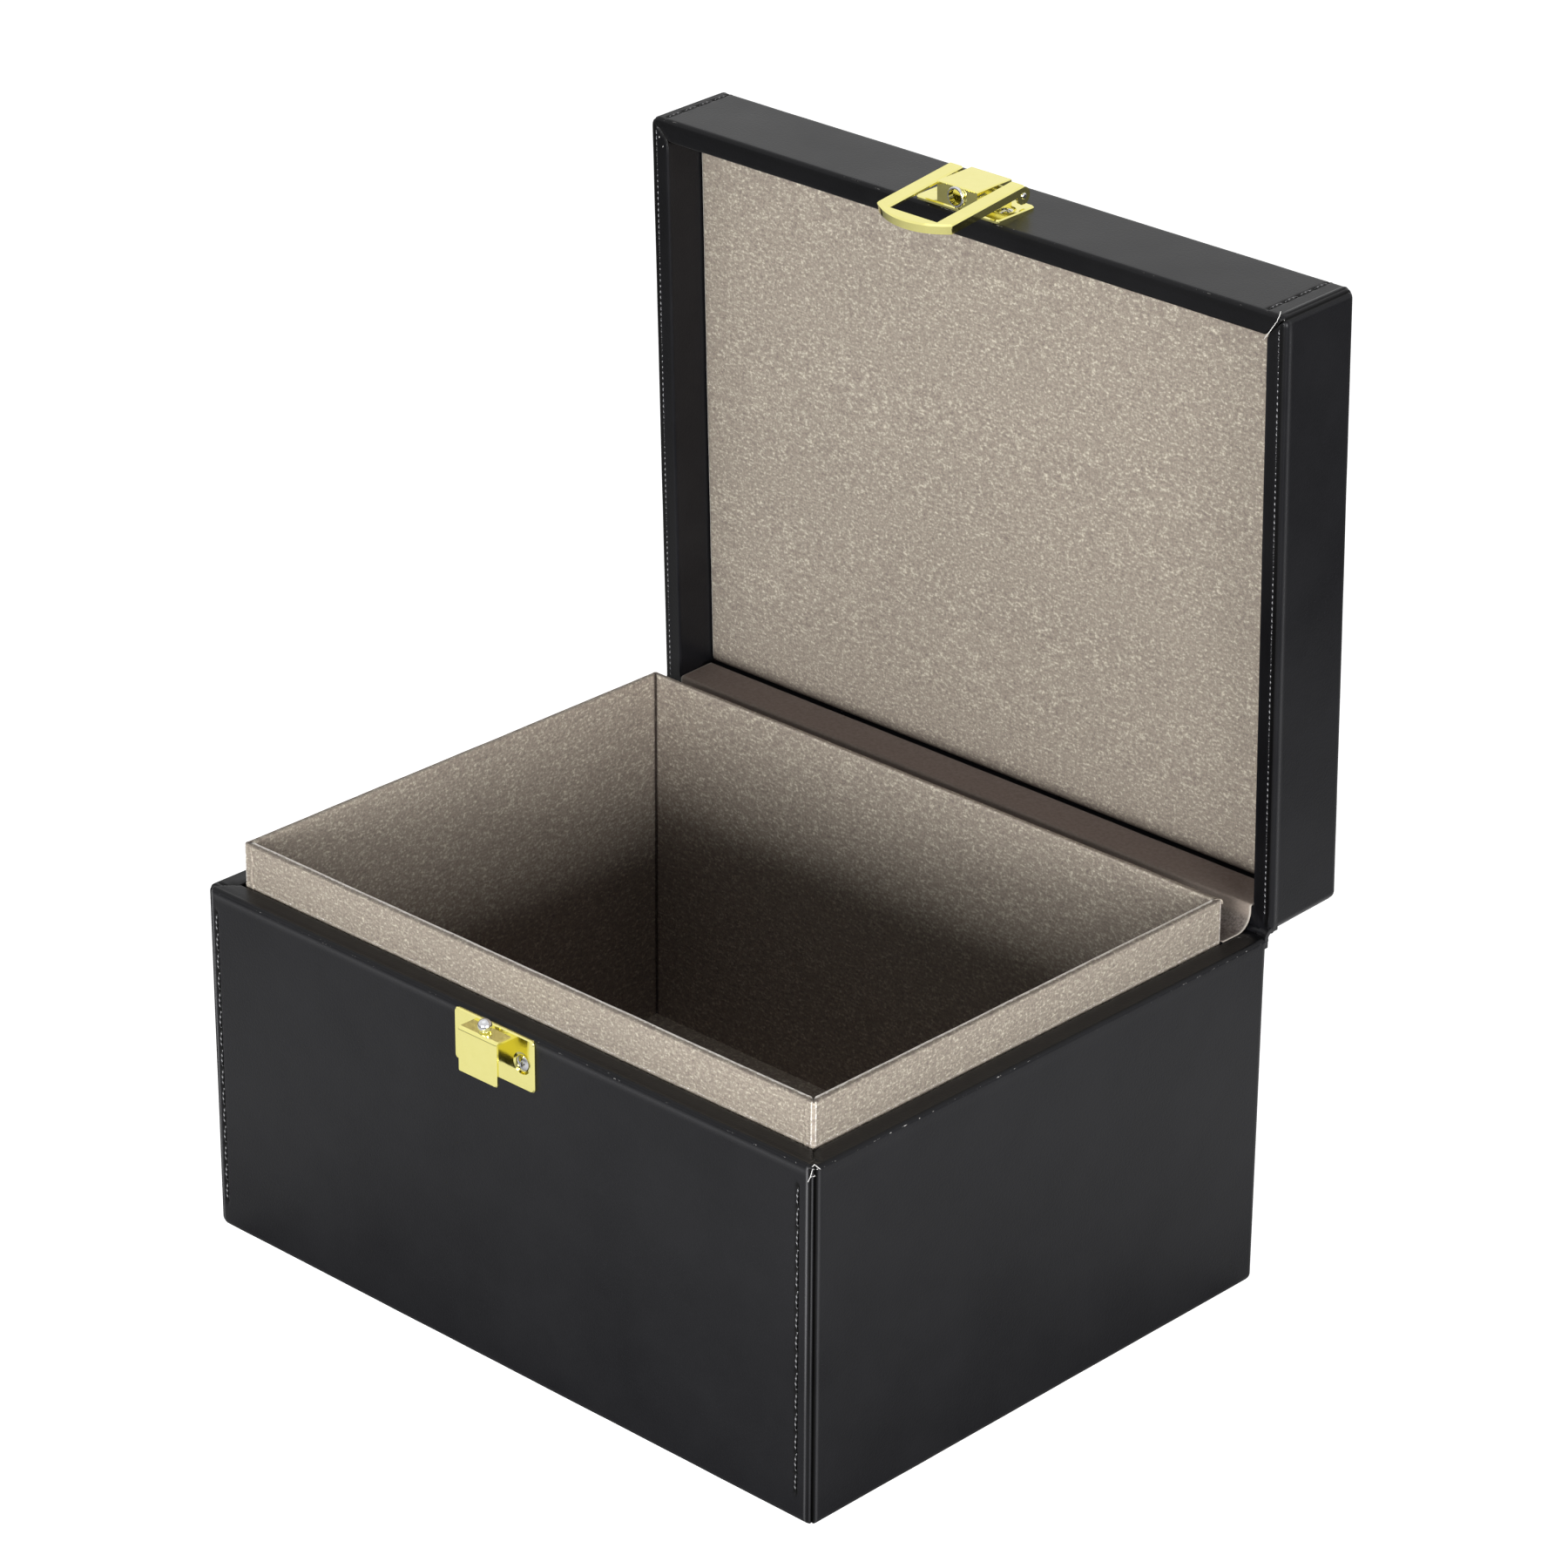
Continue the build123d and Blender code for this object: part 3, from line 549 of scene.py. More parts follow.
def along_wall(rows, columns, side, reach, stand, corner, cross=None, thick_side=False):
    """Points, normals and seam distance of a sheet on one wall.

    reach is half the wall's length and stand its distance from the middle. cross is the
    first row that no longer narrows as it goes inwards, for a sheet that goes over a top.
    thick_side gives the sheet's back instead of its face."""
    wall_line, outwards = (np.array((*v, 0.0)) for v in sides[side])
    up = np.array((0.0, 0.0, 1.0))
    depth, height = (rows[:, 4], rows[:, 5]) if thick_side else (rows[:, 0], rows[:, 1])
    look_in, look_up = rows[:, 2:3], rows[:, 3:4]
    over = np.arange(len(rows)) >= (len(rows) if cross is None else cross)
    sheet = np.hypot(rows[:, 4] - rows[:, 0], rows[:, 5] - rows[:, 1]) if thick_side else 0.0
    inset = np.where(over, sheet, np.maximum(depth, 0))[:, None]
    over = over[:, None]

    straight_end = reach - corner
    radius = np.maximum(corner - inset, 0)
    from_middle = np.abs(columns)[None, :]
    sign = np.where(columns < 0, -1.0, 1.0)[None, :]
    full_turn = np.where(over, np.arctan(np.maximum(np.abs(look_in), np.abs(look_up))) / (pi / 4), 1.0)
    turn = np.clip((from_middle - straight_end) / corner, 0, None) * full_turn
    straight = np.where(inset > corner, reach - inset, straight_end)
    in_corner = from_middle > straight_end
    along = np.where(in_corner, straight + radius * np.sin(turn), np.minimum(from_middle, straight))
    sag = np.where(in_corner, radius * (1 - np.cos(turn)), 0.0)
    out = stand - depth[:, None] - sag * np.where(over, -look_in, 1.0)
    high = height[:, None] - sag * np.where(over, look_up, 0.0)
    points = out[..., None] * outwards + (along * sign)[..., None] * wall_line + high[..., None] * up

    ahead = np.where(radius > 0, np.cos(turn), 1.0)
    aside = np.where(radius > 0, np.sin(turn), 0.0)
    face_out = -look_in * ahead
    face_along = np.where(over, aside, -look_in * aside) * sign
    face_up = look_up * np.where(over, ahead, 1.0)
    normals = face_out[..., None] * outwards + face_along[..., None] * wall_line + face_up[..., None] * up
    normals /= np.linalg.norm(normals, axis=-1, keepdims=True) + 1e-12
    end = straight_end + corner * pi / 4
    seam = np.where(inset > corner, (straight - along) * sqrt(0.5), end - from_middle)
    return points, normals, seam


def column_places(first, last, spots, coarse=2.4):
    """Places from first to last, coarse in the open and fine round each (spot, width, step)."""
    places, at = [first], first
    while at < last - 1e-9:
        step = coarse
        for spot, width, fine in spots:
            gap = max(0.0, abs(at - spot) - width)
            if at < spot - width:
                gap = spot - width - at
            step = min(step, max(fine, gap * 0.5 if at < spot else fine + gap * 0.35))
        at = min(last, at + step)
        places.append(at)
    return np.array(places)


test = column_places(-half_w, half_w, [(-half_w, corner_r, 0.16), (half_w, corner_r, 0.16)])
print("a wall as wide as the box gets", len(test), "columns")

# %% [markdown]
# Hand-laid leather is never quite flat: it waves by a few hundredths of a millimetre, and
# that is what makes its reflections swim. A few long sine waves do it, the same each run.

# %% Unevenness
long_waves = ((0.11, 0.07, 0.13), (0.23, 0.19, -0.17), (-0.31, 0.27, 0.29), (0.47, -0.41, 0.37))


def uneven(points, size, seed=0.0):
    """A gentle height in millimetres over the piece, from a few long waves."""
    x, y, z = points[..., 0], points[..., 1], points[..., 2]
    total = 0
    for k, (fx, fy, fz) in enumerate(long_waves):
        total = total + np.sin(fx * x + fy * y + fz * z + seed * (k + 1) + 1.7 * k) / (k + 1.5)
    return total * size


def noise_field(points, scale):
    """A cheap rough field from 0 to 1, for breaking up wear."""
    x, y, z = (points[..., i] * scale for i in range(3))
    broad = np.sin(3.1 * x + 1.3 * z) * np.sin(2.3 * y - 2.9 * z)
    return 0.5 + 0.25 * (broad + np.sin(5.7 * z + 2.1 * x - 1.7 * y))


print("waves:", len(long_waves))

# %% [markdown]
# Rows and columns give points, and a piece needs faces. A plane with a Solidify modifier
# could make the thickness, but at a tight fold the sheet's back has to be told where to
# stay, so the face and the back are both given and joined along the rim. Each piece is
# then cleaned, smoothed, given its finish, and tied to the body that it moves with.
#
# Stitches are short round strands. Curves with a bevel would make them too, but plain
# faces let all the stitches of a row be one mesh.

# %% From rows and columns to a mesh
def sheet_mesh(name, front, back, material, body, replaces=(), wear_and_highlight=None, press_shade_and_highlight=None, turned=None,
               smooth=45):
    """Close the two faces of a sheet into one solid piece that rides on a body.

    Of two stored numbers, the first is where its edges rub and where highlights are painted, the second how
    far a hollow or a ridge goes, with painted shade and highlights added.
    Edges sharper than smooth, in degrees, stay crisp."""
    rows, columns = front.shape[:2]
    count = rows * columns
    index = np.arange(count).reshape(rows, columns)
    quads = np.stack([index[:-1, :-1], index[:-1, 1:], index[1:, 1:], index[1:, :-1]], -1).reshape(-1, 4)
    rim = np.concatenate([index[0, :], index[1:, -1], index[-1, -2::-1], index[-2:0:-1, 0]])
    walls = np.stack([np.roll(rim, -1), rim, rim + count, np.roll(rim, -1) + count], -1)
    faces = np.concatenate([quads, quads[:, ::-1] + count, walls])
    points = np.concatenate([front.reshape(-1, 3), back.reshape(-1, 3)]) * MM
    mesh = bpy.data.meshes.new(name)
    mesh.from_pydata(points.tolist(), [], faces.tolist())
    for label, numbers in (("wear_and_highlight", wear_and_highlight), ("press_shade_and_highlight", press_shade_and_highlight)):
        values = np.zeros(2 * count, np.float32)
        if numbers is not None:
            values[:count] = np.clip(numbers, -1, 1).reshape(-1)
        mesh.attributes.new(label, "FLOAT", "POINT").data.foreach_set("value", values)
    return as_piece(name, mesh, material, body, replaces, turned, smooth)


def as_piece(name, mesh, material, body, replaces=(), turned=None, smooth=45):
    """Clean a mesh, smooth it, give it a finish and let it ride on a body."""
    work = bmesh.new()
    work.from_mesh(mesh)
    bmesh.ops.remove_doubles(work, verts=work.verts, dist=2e-6)
    bmesh.ops.recalc_face_normals(work, faces=work.faces)
    work.to_mesh(mesh)
    work.free()
    if turned is not None:
        mesh.transform(turned)
    mesh.shade_smooth()
    mesh.set_sharp_from_angle(angle=radians(smooth))
    mesh.materials.append(material)
    piece = bpy.data.objects.new(name, mesh)
    scene.collection.objects.link(piece)
    if body:
        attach(piece, body)
    if replaces:
        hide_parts(*replaces)
    return piece


def tubes(name, lines, normals, radius, material, body, turned=None):
    """Short round strands, each along its own line of points; they thin out at both ends."""
    around = 6                                     # points round a strand
    angles = np.linspace(0, 2 * pi, around + 1)[:-1]
    points, faces = [], []
    for line, normal in zip(lines, normals):
        line, normal = np.array(line, float), np.array(normal, float)
        along = np.gradient(line, axis=0)
        across = np.cross(along, np.broadcast_to(normal, line.shape))
        across /= np.linalg.norm(across, axis=1, keepdims=True)
        upward = np.cross(across, along)
        upward /= np.linalg.norm(upward, axis=1, keepdims=True)
        count = len(line)
        size = radius * (0.45 + 0.55 * np.sin(np.linspace(0.12, pi - 0.12, count)) ** 0.6)
        first = len(points)
        for k in range(count):
            for angle in angles:
                points.append((line[k] + size[k] * (cos(angle) * across[k] + sin(angle) * upward[k])) * MM)
        for k in range(count - 1):
            for i in range(around):
                a, b = first + around * k + i, first + around * k + (i + 1) % around
                faces.append((a, b, b + around, a + around))
        faces.append([first + i for i in range(around)][::-1])
        faces.append([first + around * (count - 1) + i for i in range(around)])
    mesh = bpy.data.meshes.new(name)
    mesh.from_pydata([tuple(p) for p in points], [], faces)
    return as_piece(name, mesh, material, body, turned=turned)


print("mesh helpers ready")

# %% [markdown]
# ## Leather on the base
#
# Four panels cover the base. Each is glued to its board, goes over the rim and down inside,
# and is turned under the foot. The front panel has a sewn hem at both ends: a fold that
# makes a low ridge at the corner, a row of stitches beside it, and a dark joint where it
# meets the side panel. These are a few hundredths to a few tenths of a millimetre high, so
# they are pressed into the sheet rather than built as pieces of their own.

# %% Where the seams and stitches go
corner_end = corner_r * pi / 4                     # from the start of the corner to its seam
front_end, side_end = half_w - corner_r + corner_end, half_d - corner_r + corner_end
stitch_pitch = 5.3
stitch_rows = {"left": -96.5, "right": 94.9}       # along the front, from the middle
stitch_span = (8.0, 86.5)                          # heights between which the front is sewn
corner_zone, stitch_zone = 2.8, 0.9                # the columns are close together this far from each
full_press = 0.13                                  # the height of a ridge that shines as much as one can


def dent(distance, width, height):
    """A smooth bump (or groove, if height is negative) of that half width."""
    return height * np.exp(-(distance / width) ** 2)


far = 999.0                                        # past every piece, for a range with no end


def between(value, low, high, soft=1.0):
    """1 between low and high, 0 outside, with soft ends."""
    return 0.25 * (1 + np.tanh((value - low) / (soft * 0.6))) * (1 + np.tanh((high - value) / (soft * 0.6)))


def stitch_places(low, high, pitch):
    """Heights of the needle holes between two ends."""
    return np.linspace(low, high, int(round((high - low) / pitch)) + 1)


def sewn(distance, run, holes, depth=0.22):
    """The pressed groove of a stitch row, and a deeper dimple at each needle hole."""
    groove = dent(distance, 0.44, -depth) * between(run, holes[0] - 0.6, holes[-1] + 0.6)
    nearest = np.min(np.abs(run[..., None] - holes), axis=-1)
    return groove + dent(np.hypot(distance, nearest), 0.55, -0.25)


print(f"{len(stitch_places(*stitch_span, stitch_pitch))} needle holes in each front row")

# %% [markdown]
# The panels share one profile: under the foot, up the wall, over the rim and down inside.
# The back one ends where the spine leather begins. At the two back corners the turned
# leather comes together at the hinge, thick and square, where the other corners are round.
# Each panel could be modelled by hand; one function makes all four, and they meet exactly.

# %% Base panels
base_profile = [(under_turn, foot_z), (0, foot_z), (0, rim_z), (base_wall, rim_z),
                (base_wall, rim_z - turn_in)]
base_radii = [foot_r, rim_r, inner_r]


def hem(seam, fade, side):
    """The fold beside a corner: a ridge and a crease on the front, a deep joint on its neighbour."""
    if side == "front":
        fold = dent(seam - 1.7, 0.24, 0.17) + dent(seam - 1.0, 0.24, -0.24) + dent(seam - 0.45, 0.16, 0.07)
        return fold * fade + dent(seam, 0.16, -0.30)
    return dent(seam - 0.30, 0.30, -0.45) + dent(seam - 1.1, 0.35, 0.04)


def squared(points, rim):
    """Fill the back corner next to a rim, where the turned leather is thick and stands square."""
    x, y, z = (points[..., i].copy() for i in range(3))
    square_run, past_wall = 2.6, half_w - base_wall + 1.0
    near = np.clip(1 - np.abs(z - rim) / square_run, 0, 1) ** 0.6
    out_x, out_y = np.abs(x) - (half_w - corner_r), y - (half_d - corner_r)
    inside = (out_x > 0) & (out_y > 0)
    longest = np.maximum(np.maximum(out_x, out_y), 1e-6)
    grow = np.where(inside, 1 + (np.hypot(out_x, out_y) / longest - 1) * near, 1)
    fold = (rim_z + lid_rim_z) / 2
    lift = (fold - rim) * 0.7 * near ** 3
    lift = lift * between(y, half_d - 4, far, 1.5) * between(np.abs(x), past_wall, far, 1)
    points[..., 0] = np.where(inside, np.sign(x) * (half_w - corner_r + out_x * grow), x)
    points[..., 1] = np.where(inside, half_d - corner_r + out_y * grow, y)
    points[..., 2] = z + lift
    return points


def base_panel(side):
    """One leather panel of the base, front, left or right, or the lower part of the back."""
    reach, stand = (half_w, half_d) if side in ("front", "back") else (half_d, half_w)
    end = reach - corner_r + corner_end
    profile, radii = base_profile, base_radii
    if side == "back":
        profile, radii = [(under_turn, foot_z), (0, foot_z), (0, rim_z - spine_leg)], [foot_r]
    spots = [(-end, corner_zone, 0.15), (end, corner_zone, 0.15)]
    if side == "front":
        spots += [(q, stitch_zone, 0.17) for q in stitch_rows.values()]
    rows = folded(profile, radii, leather_t, 0.66 if side == "front" else 1.6)
    columns = column_places(-end, end, sorted(spots))
    front, normals, seam = along_wall(rows, columns, side, reach, stand, corner_r)
    back, _, _ = along_wall(rows, columns, side, reach, stand, corner_r, thick_side=True)
    height = front[..., 2]
    wave = uneven(front, 0.02, seed=len(side)) * np.clip(seam / 3, 0, 1)
    on_wall = between(height, 1.5, rim_z - 0.6)
    fade = np.clip((height - 6) / 50, 0.45, 1) * on_wall
    relief = hem(seam, fade, side) if side != "back" else dent(seam, 0.34, -0.34)
    if side in ("left", "right"):                 # these two turn the back corner at the top
        backwards = columns[None, :] * (1 if side == "right" else -1)
        relief = relief * (1 - between(backwards, 0, far) * between(height, rim_z - spine_leg, far, 0.4))
    if side == "front":
        for q in stitch_rows.values():
            holes = stitch_places(*stitch_span, stitch_pitch)
            relief = relief + sewn(columns[None, :] - q + 0 * height, height, holes)
    facing_up = rows[:, 3:4] > 0.55
    relief = relief + facing_up * dent(rows[:, 0:1] - 1.5, 0.35, -0.10) * np.clip(seam / 1.2, 0, 1)
    swell = dent(height - (rim_z - 1.9), 0.5, 0.03) * (rows[:, 2:3] < -0.9)
    relief = relief + swell * np.clip(seam / 3, 0, 1)
    rubs = side in ("front", "right")
    rubbed = dent(seam, 0.28, 1.0) * between(height, rim_z - 3.5, rim_z + 1, 0.6) * rubs
    # Small pale flecks on the rim edge are painted glints of the grain, stored with the wear.
    rim_edge = between(height, rim_z - 1.2, rim_z - 0.2, 0.4) * (rows[:, 2:3] < -0.3)
    painted_glints = rim_edge * 0.55 * noise_field(front, 2.3) ** 3
    front = front + normals * (relief + wave)[..., None]
    if side != "front":
        front, back = squared(front, rim_z), squared(back, rim_z)
    wear_and_highlight = rubbed * noise_field(front, 0.9) * 0.7 + painted_glints
    # Grooves are painted darker as shade and ridges lighter as highlights; the rim's top is painted darker as
    # shade.
    press_shade_and_highlight = relief / full_press - 0.4 * facing_up
    piece = sheet_mesh(f"leather_{side}", front, back, leather, "base", [f"base_{side}_leather"],
                       wear_and_highlight, press_shade_and_highlight)
    return piece


for side in sides:
    piece = base_panel(side)
    print(piece.name, len(piece.data.polygons), "faces")

# %% [markdown]
# ### Stitches
#
# Each stitch is a short arch that dives into a needle hole at both ends. An Array modifier
# would repeat one stitch, but a row goes straight up the wall on the base and round two
# edges on the lid, so each stitch is laid along the walked length of the profile. The same
# strands, thinner, make the few fibres that stand up where the corner has rubbed through.

# %% Thread on the front of the base
def stitch_lines(q, holes, rows, start, sink=-0.30, rise=0.38):
    """Centre lines and normals of the stitches of one row on the front or the lid wrap."""
    lines, normals = [], []
    for low, high in zip(holes[:-1], holes[1:]):
        t = np.linspace(0, 1, 9)
        s = start + low + (high - low) * (0.07 + 0.86 * t)
        depth, height, n_d, n_h = (np.interp(s, rows[:, 6], rows[:, i]) for i in range(4))
        lift = sink + rise * np.sin(pi * t) ** 0.5
        lines.append(np.stack([q + 0.16 * (t - 0.5), depth - half_d + n_d * lift, height + n_h * lift], -1))
        normals.append(np.stack([0 * t, n_d, n_h], -1))
    return lines, normals


thread_r, fine_thread_r, fibre_r = 0.17, 0.13, 0.10


def strokes(name, paths, normal, radius, body, turned=None):
    """Lifted fibres of raw leather, each along a few corner points."""
    lines = []
    for path in paths:
        path = np.array(path, float)
        at = np.linspace(0, len(path) - 1, 5 * (len(path) - 1) + 1)
        lines.append(np.stack([np.interp(at, range(len(path)), path[:, i]) for i in range(3)], -1))
    return tubes(name, lines, [normal] * len(lines), radius, raw, body, turned)


upright = np.array([(0, z, -1, 0, 0, 0, z) for z in (0.0, rim_z)])
for side, q in stitch_rows.items():
    lines, normals = stitch_lines(q, stitch_places(*stitch_span, stitch_pitch), upright, 0.0)
    tubes(f"front_thread_{side}", lines, normals, thread_r, thread, "base")


def corner_place(t, z):
    """A point on the front right corner: t millimetres round it from its middle, at height z."""
    turn = t / corner_r - pi / 4
    out = corner_r + 0.02
    return half_w - corner_r + out * cos(turn), corner_r - half_d + out * sin(turn), z


worn_paths = [[(-0.5, 92.7), (-0.01, 93.3), (1.33, 91.96)], [(-0.38, 92.2), (-0.94, 90.0), (-1.5, 88.7)],
              [(-0.9, 90.1), (0.2, 90.5)]]
worn_paths = [[corner_place(*point) for point in path] for path in worn_paths]
strokes("corner_fibres", worn_paths, (1, -1, 0), fibre_r, "base")
print("front sewn")

# %% [markdown]
# At the two back corners the side panels turn the corner under the hinge, so that the
# spine leather has something to lie against. A panel's mesh ends on the line of its corner,
# so each return is a mesh of its own: a short run of the back wall.

# %% Back corners of the base
def back_corner(name, side, profile, radii, body, turned=None):
    """The short return of a side panel on the back wall, from the spine leather to the corner."""
    end = half_w - corner_r + corner_end
    inner = half_w - (base_wall if body == "base" else lid_wall)
    spots = [(half_w - spine_end, 0.5, 0.15), (end, corner_zone, 0.25)]
    places = column_places(inner + 0.05, end, spots, 0.8)
    columns = np.sort(-places if side == "right" else places)
    rows = folded(profile, radii, leather_t, 1.0)
    front, normals, _ = along_wall(rows, columns, "back", half_w, half_d, corner_r)
    back, _, _ = along_wall(rows, columns, "back", half_w, half_d, corner_r, thick_side=True)
    under = np.abs(columns)[None, :] < half_w - spine_end + 0.05
    pared_y = half_d - 0.42                        # pared thin below the spine leather
    front[..., 1] = np.where(under, np.minimum(front[..., 1], pared_y), front[..., 1])
    rim = rim_z if body == "base" else lid_rim_z
    piece = sheet_mesh(name, squared(front, rim), squared(back, rim), leather, body, turned=turned)
    return piece


return_profile = [(0, rim_z - spine_leg), (0, rim_z), (base_wall, rim_z)]
for side in ("left", "right"):
    back_corner(f"leather_{side}_return", side, return_profile, [rim_r], "base")
print("two returns made")

# %% [markdown]
# ## The shielding liner
#
# Inside stands a second box of thin board, covered in the metallic cloth and taller than
# the rim, so that the lid seals over it. Each wall's cloth starts outside below the rim,
# goes over the top edge and down to the floor. Cloth over board is soft only at its edges:
# the top edge is rounded, the corners close in a fine line, and the cloth bulges a little
# where the leather rim presses on it.

# %% Liner walls
liner_half_d = (liner_back - liner_front) / 2
liner_middle = (liner_back + liner_front) / 2
liner_profile = [(0, cloth_drop), (0, liner_top), (liner_wall, liner_top), (liner_wall, liner_floor)]


def liner_cloth(side):
    """The cloth of one liner wall, from below the rim outside to the floor inside."""
    reach, stand = (liner_x, liner_half_d) if side in ("front", "back") else (liner_half_d, liner_x)
    end = reach - liner_r + liner_r * pi / 4
    rows = folded(liner_profile, [liner_r, liner_r], cloth_t, 0.6)
    columns = column_places(-end, end, [(-end, 3.6, 0.16), (end, 3.6, 0.16)], 1.6)
    front, normals, seam = along_wall(rows, columns, side, reach, stand, liner_r)
    back, _, _ = along_wall(rows, columns, side, reach, stand, liner_r, thick_side=True)
    for grid in (front, back):
        grid[..., 1] += liner_middle
    height = front[..., 2]
    outside = (rows[:, 2] < -0.5)[:, None]
    relief = uneven(front, 0.035, seed=3.0 + len(side)) * np.clip(seam / 4, 0, 1)
    relief = relief + dent(seam, 0.22, -0.16) + dent(seam - 0.8, 0.4, 0.07)
    relief = relief + outside * dent(height - (rim_z + 0.45), 0.4, 0.09)
    if side == "front":                            # the cloth is folded over beside the corner
        wander = 0.35 * np.sin(0.9 * height) + 0.2 * np.sin(2.3 * height)
        crease = dent(seam - 2.9 - wander, 0.20, -0.18) + dent(seam - 2.3 - wander, 0.32, 0.12)
        relief = relief + crease * outside * between(height, 0, liner_top - 0.6)
    near_side = side in ("front", "right")
    top_face = (rows[:, 3:4] > 0.3) & (rows[:, 0:1] > 0.05)
    inner_edge = top_face * dent(rows[:, 0:1] - (liner_wall - 0.45), 0.22, 1.0)
    relief = relief + inner_edge * (0.22 if near_side else 0.05) * np.clip(seam / 0.6, 0, 1)
    # The pale lines along the inner top edge, the lower edge and the corners are painted highlights,
    # strongest on the near walls.
    lower_line = outside * dent(height - (rim_z + 0.35), 0.22, 0.6)
    corner_line = outside * dent(seam - 0.55, 0.25, 0.6) * between(height, rim_z, far)
    front = front + normals * relief[..., None]
    edge_line = inner_edge * (1.0 if near_side else 0.35)
    lines = np.maximum(np.maximum(edge_line, lower_line), corner_line)
    wear_and_highlight = lines * (0.75 + 0.35 * noise_field(front, 1.4))
    # The tops of the near walls are painted darker as shade, and the inside corner joints darker.
    press_shade_and_highlight = dent(seam, 0.30, -1.0) * (1 - outside) - 0.35 * top_face * (1 - inner_edge) * near_side
    piece = sheet_mesh(f"liner_cloth_{side}", front, back, cloth, "base", [f"shield_{side}_fabric"],
                       wear_and_highlight, press_shade_and_highlight)
    return piece


for side in sides:
    piece = liner_cloth(side)
    print(piece.name, len(piece.data.polygons), "faces")

# %% [markdown]
# ### A loose end
#
# Where two walls' cloth meets at the back right corner, a loose end lies along the edge in
# a small curl. Cutting it out of the wall's mesh would be fiddly, so it is one strand of
# its own along a few points, low enough for the shut lid's lining to pass over it.

# %% A curled end of cloth
curl_r = 0.33
curl = [(-1.5, -4.0, 103.7), (-1.4, -2.2, 103.82), (-1.0, -0.9, 103.84), (-0.4, -0.25, 103.8),
        (-0.05, -0.1, 103.5), (0.02, -0.1, 102.9)]     # from the liner's corner, and the height
curl = np.array([(liner_x + x, liner_back + y, z) for x, y, z in curl])
at = np.linspace(0, len(curl) - 1, 26)
curl_line = np.stack([np.interp(at, range(len(curl)), curl[:, i]) for i in range(3)], -1)
tubes("liner_curl", [curl_line], [(-0.3, 0, 1)], curl_r, cloth, "base")
print("curl made")

# %% [markdown]
# ### Liner floor
#
# The floor is a board under one piece of cloth. A plain box would do, but it would look
# machined, so it is a fine grid that waves by a few hundredths of a millimetre.

# %% Liner floor
def grid_of(xs, ys, z):
    """A level grid of points at height z."""
    x, y = np.meshgrid(xs, ys)
    return np.stack([x, y, z + 0 * x], -1)


floor_inset = liner_wall - cloth_t                 # it goes under the walls' cloth
floor_xs = np.linspace(floor_inset - liner_x, liner_x - floor_inset, 90)
floor_ys = np.linspace(liner_front + floor_inset, liner_back - floor_inset, 70)
floor_grid = grid_of(floor_xs, floor_ys, liner_floor)
floor_top = floor_grid.copy()
floor_top[..., 2] += uneven(floor_grid, 0.04, 5.0)
floor_cloth_t = 0.28
floor_back = floor_grid - np.array((0, 0, floor_cloth_t))
piece = sheet_mesh("liner_cloth_floor", floor_top, floor_back, cloth, "base", ["shield_floor_fabric"])
print(piece.name, len(piece.data.polygons), "faces")

# %% [markdown]
# ## Leather on the lid
#
# One wrap of leather comes out of the recess, over the front rim, up the front, across the
# top and down the back. Two side panels close the ends. The wrap's hems are sewn like those
# of the base, and the stitch rows run on over the top without a break.

# %% Lid wrap
lid_inside = lid_rim_z + recess_depth + lining_t
wrap_profile = [(lid_wall, lid_inside), (lid_wall, lid_rim_z), (0, lid_rim_z), (0, lid_top_z),
                (2 * half_d, lid_top_z), (2 * half_d, lid_rim_z + spine_leg)]
wrap_rows = folded(wrap_profile, [inner_r, rim_r, foot_r, foot_r], leather_t, 0.8)
on_front = (wrap_rows[:, 0] < 1e-3) & (wrap_rows[:, 2] < -0.999)
face_start = int(np.argmax(on_front))              # the first row above the rim's round
wrap_stitches = {"left": -95.8, "right": 93.4}
spots = [(-front_end, corner_zone, 0.16), (front_end, corner_zone, 0.16)]
spots += [(q, stitch_zone, 0.18) for q in wrap_stitches.values()]
columns = column_places(-front_end, front_end, sorted(spots), 2.8)
wrap_place = wrap_rows, columns, "front", half_w, half_d, corner_r, face_start
front, normals, seam = along_wall(*wrap_place)
back, _, _ = along_wall(*wrap_place, thick_side=True)
run = wrap_rows[:, 6:7] - wrap_rows[face_start, 6]
wrap_holes = stitch_places(0.8, run[-1, 0] - 4, stitch_pitch)
wave = uneven(front, 0.02, seed=9.0) * np.clip(seam / 3, 0, 1)
fold = dent(seam - 1.75, 0.28, 0.12) + dent(seam - 1.1, 0.24, -0.16)
relief = dent(seam, 0.3, -0.34) + between(run, 1, far) * fold
for q in wrap_stitches.values():
    relief = relief + sewn(columns[None, :] - q + 0 * run, run + 0 * columns, wrap_holes)
on_rim = (wrap_rows[:, 3:4] < -0.55) & (wrap_rows[:, 0:1] < lid_wall - 0.1)
relief = relief + on_rim * dent(wrap_rows[:, 0:1] - 1.5, 0.35, -0.08) * np.clip((seam - 0.6) / 1.2, 0, 1)
rubbed = dent(seam, 0.22, 1.0) * between(run, -6.0, 1.0, 0.6)
# Pale flecks along the rim edge are painted glints of the grain.
painted_glints = between(run, -1.1, 0.2, 0.3) * 0.6 * noise_field(front, 2.3) ** 3
front = front + normals * (relief + wave)[..., None]
wear_and_highlight = rubbed * noise_field(front, 0.9) * 0.5 + painted_glints
# Grooves are painted darker as shade and ridges lighter as highlights; the rim is painted darker as shade.
press_shade_and_highlight = relief / full_press - 0.5 * on_rim
wrap = sheet_mesh("lid_wrap", front, back, leather, "lid", ["lid_wrap_leather"], wear_and_highlight, press_shade_and_highlight, lid_open)
print(wrap.name, len(wrap.data.polygons), "faces,", len(wrap_holes), "needle holes a row")

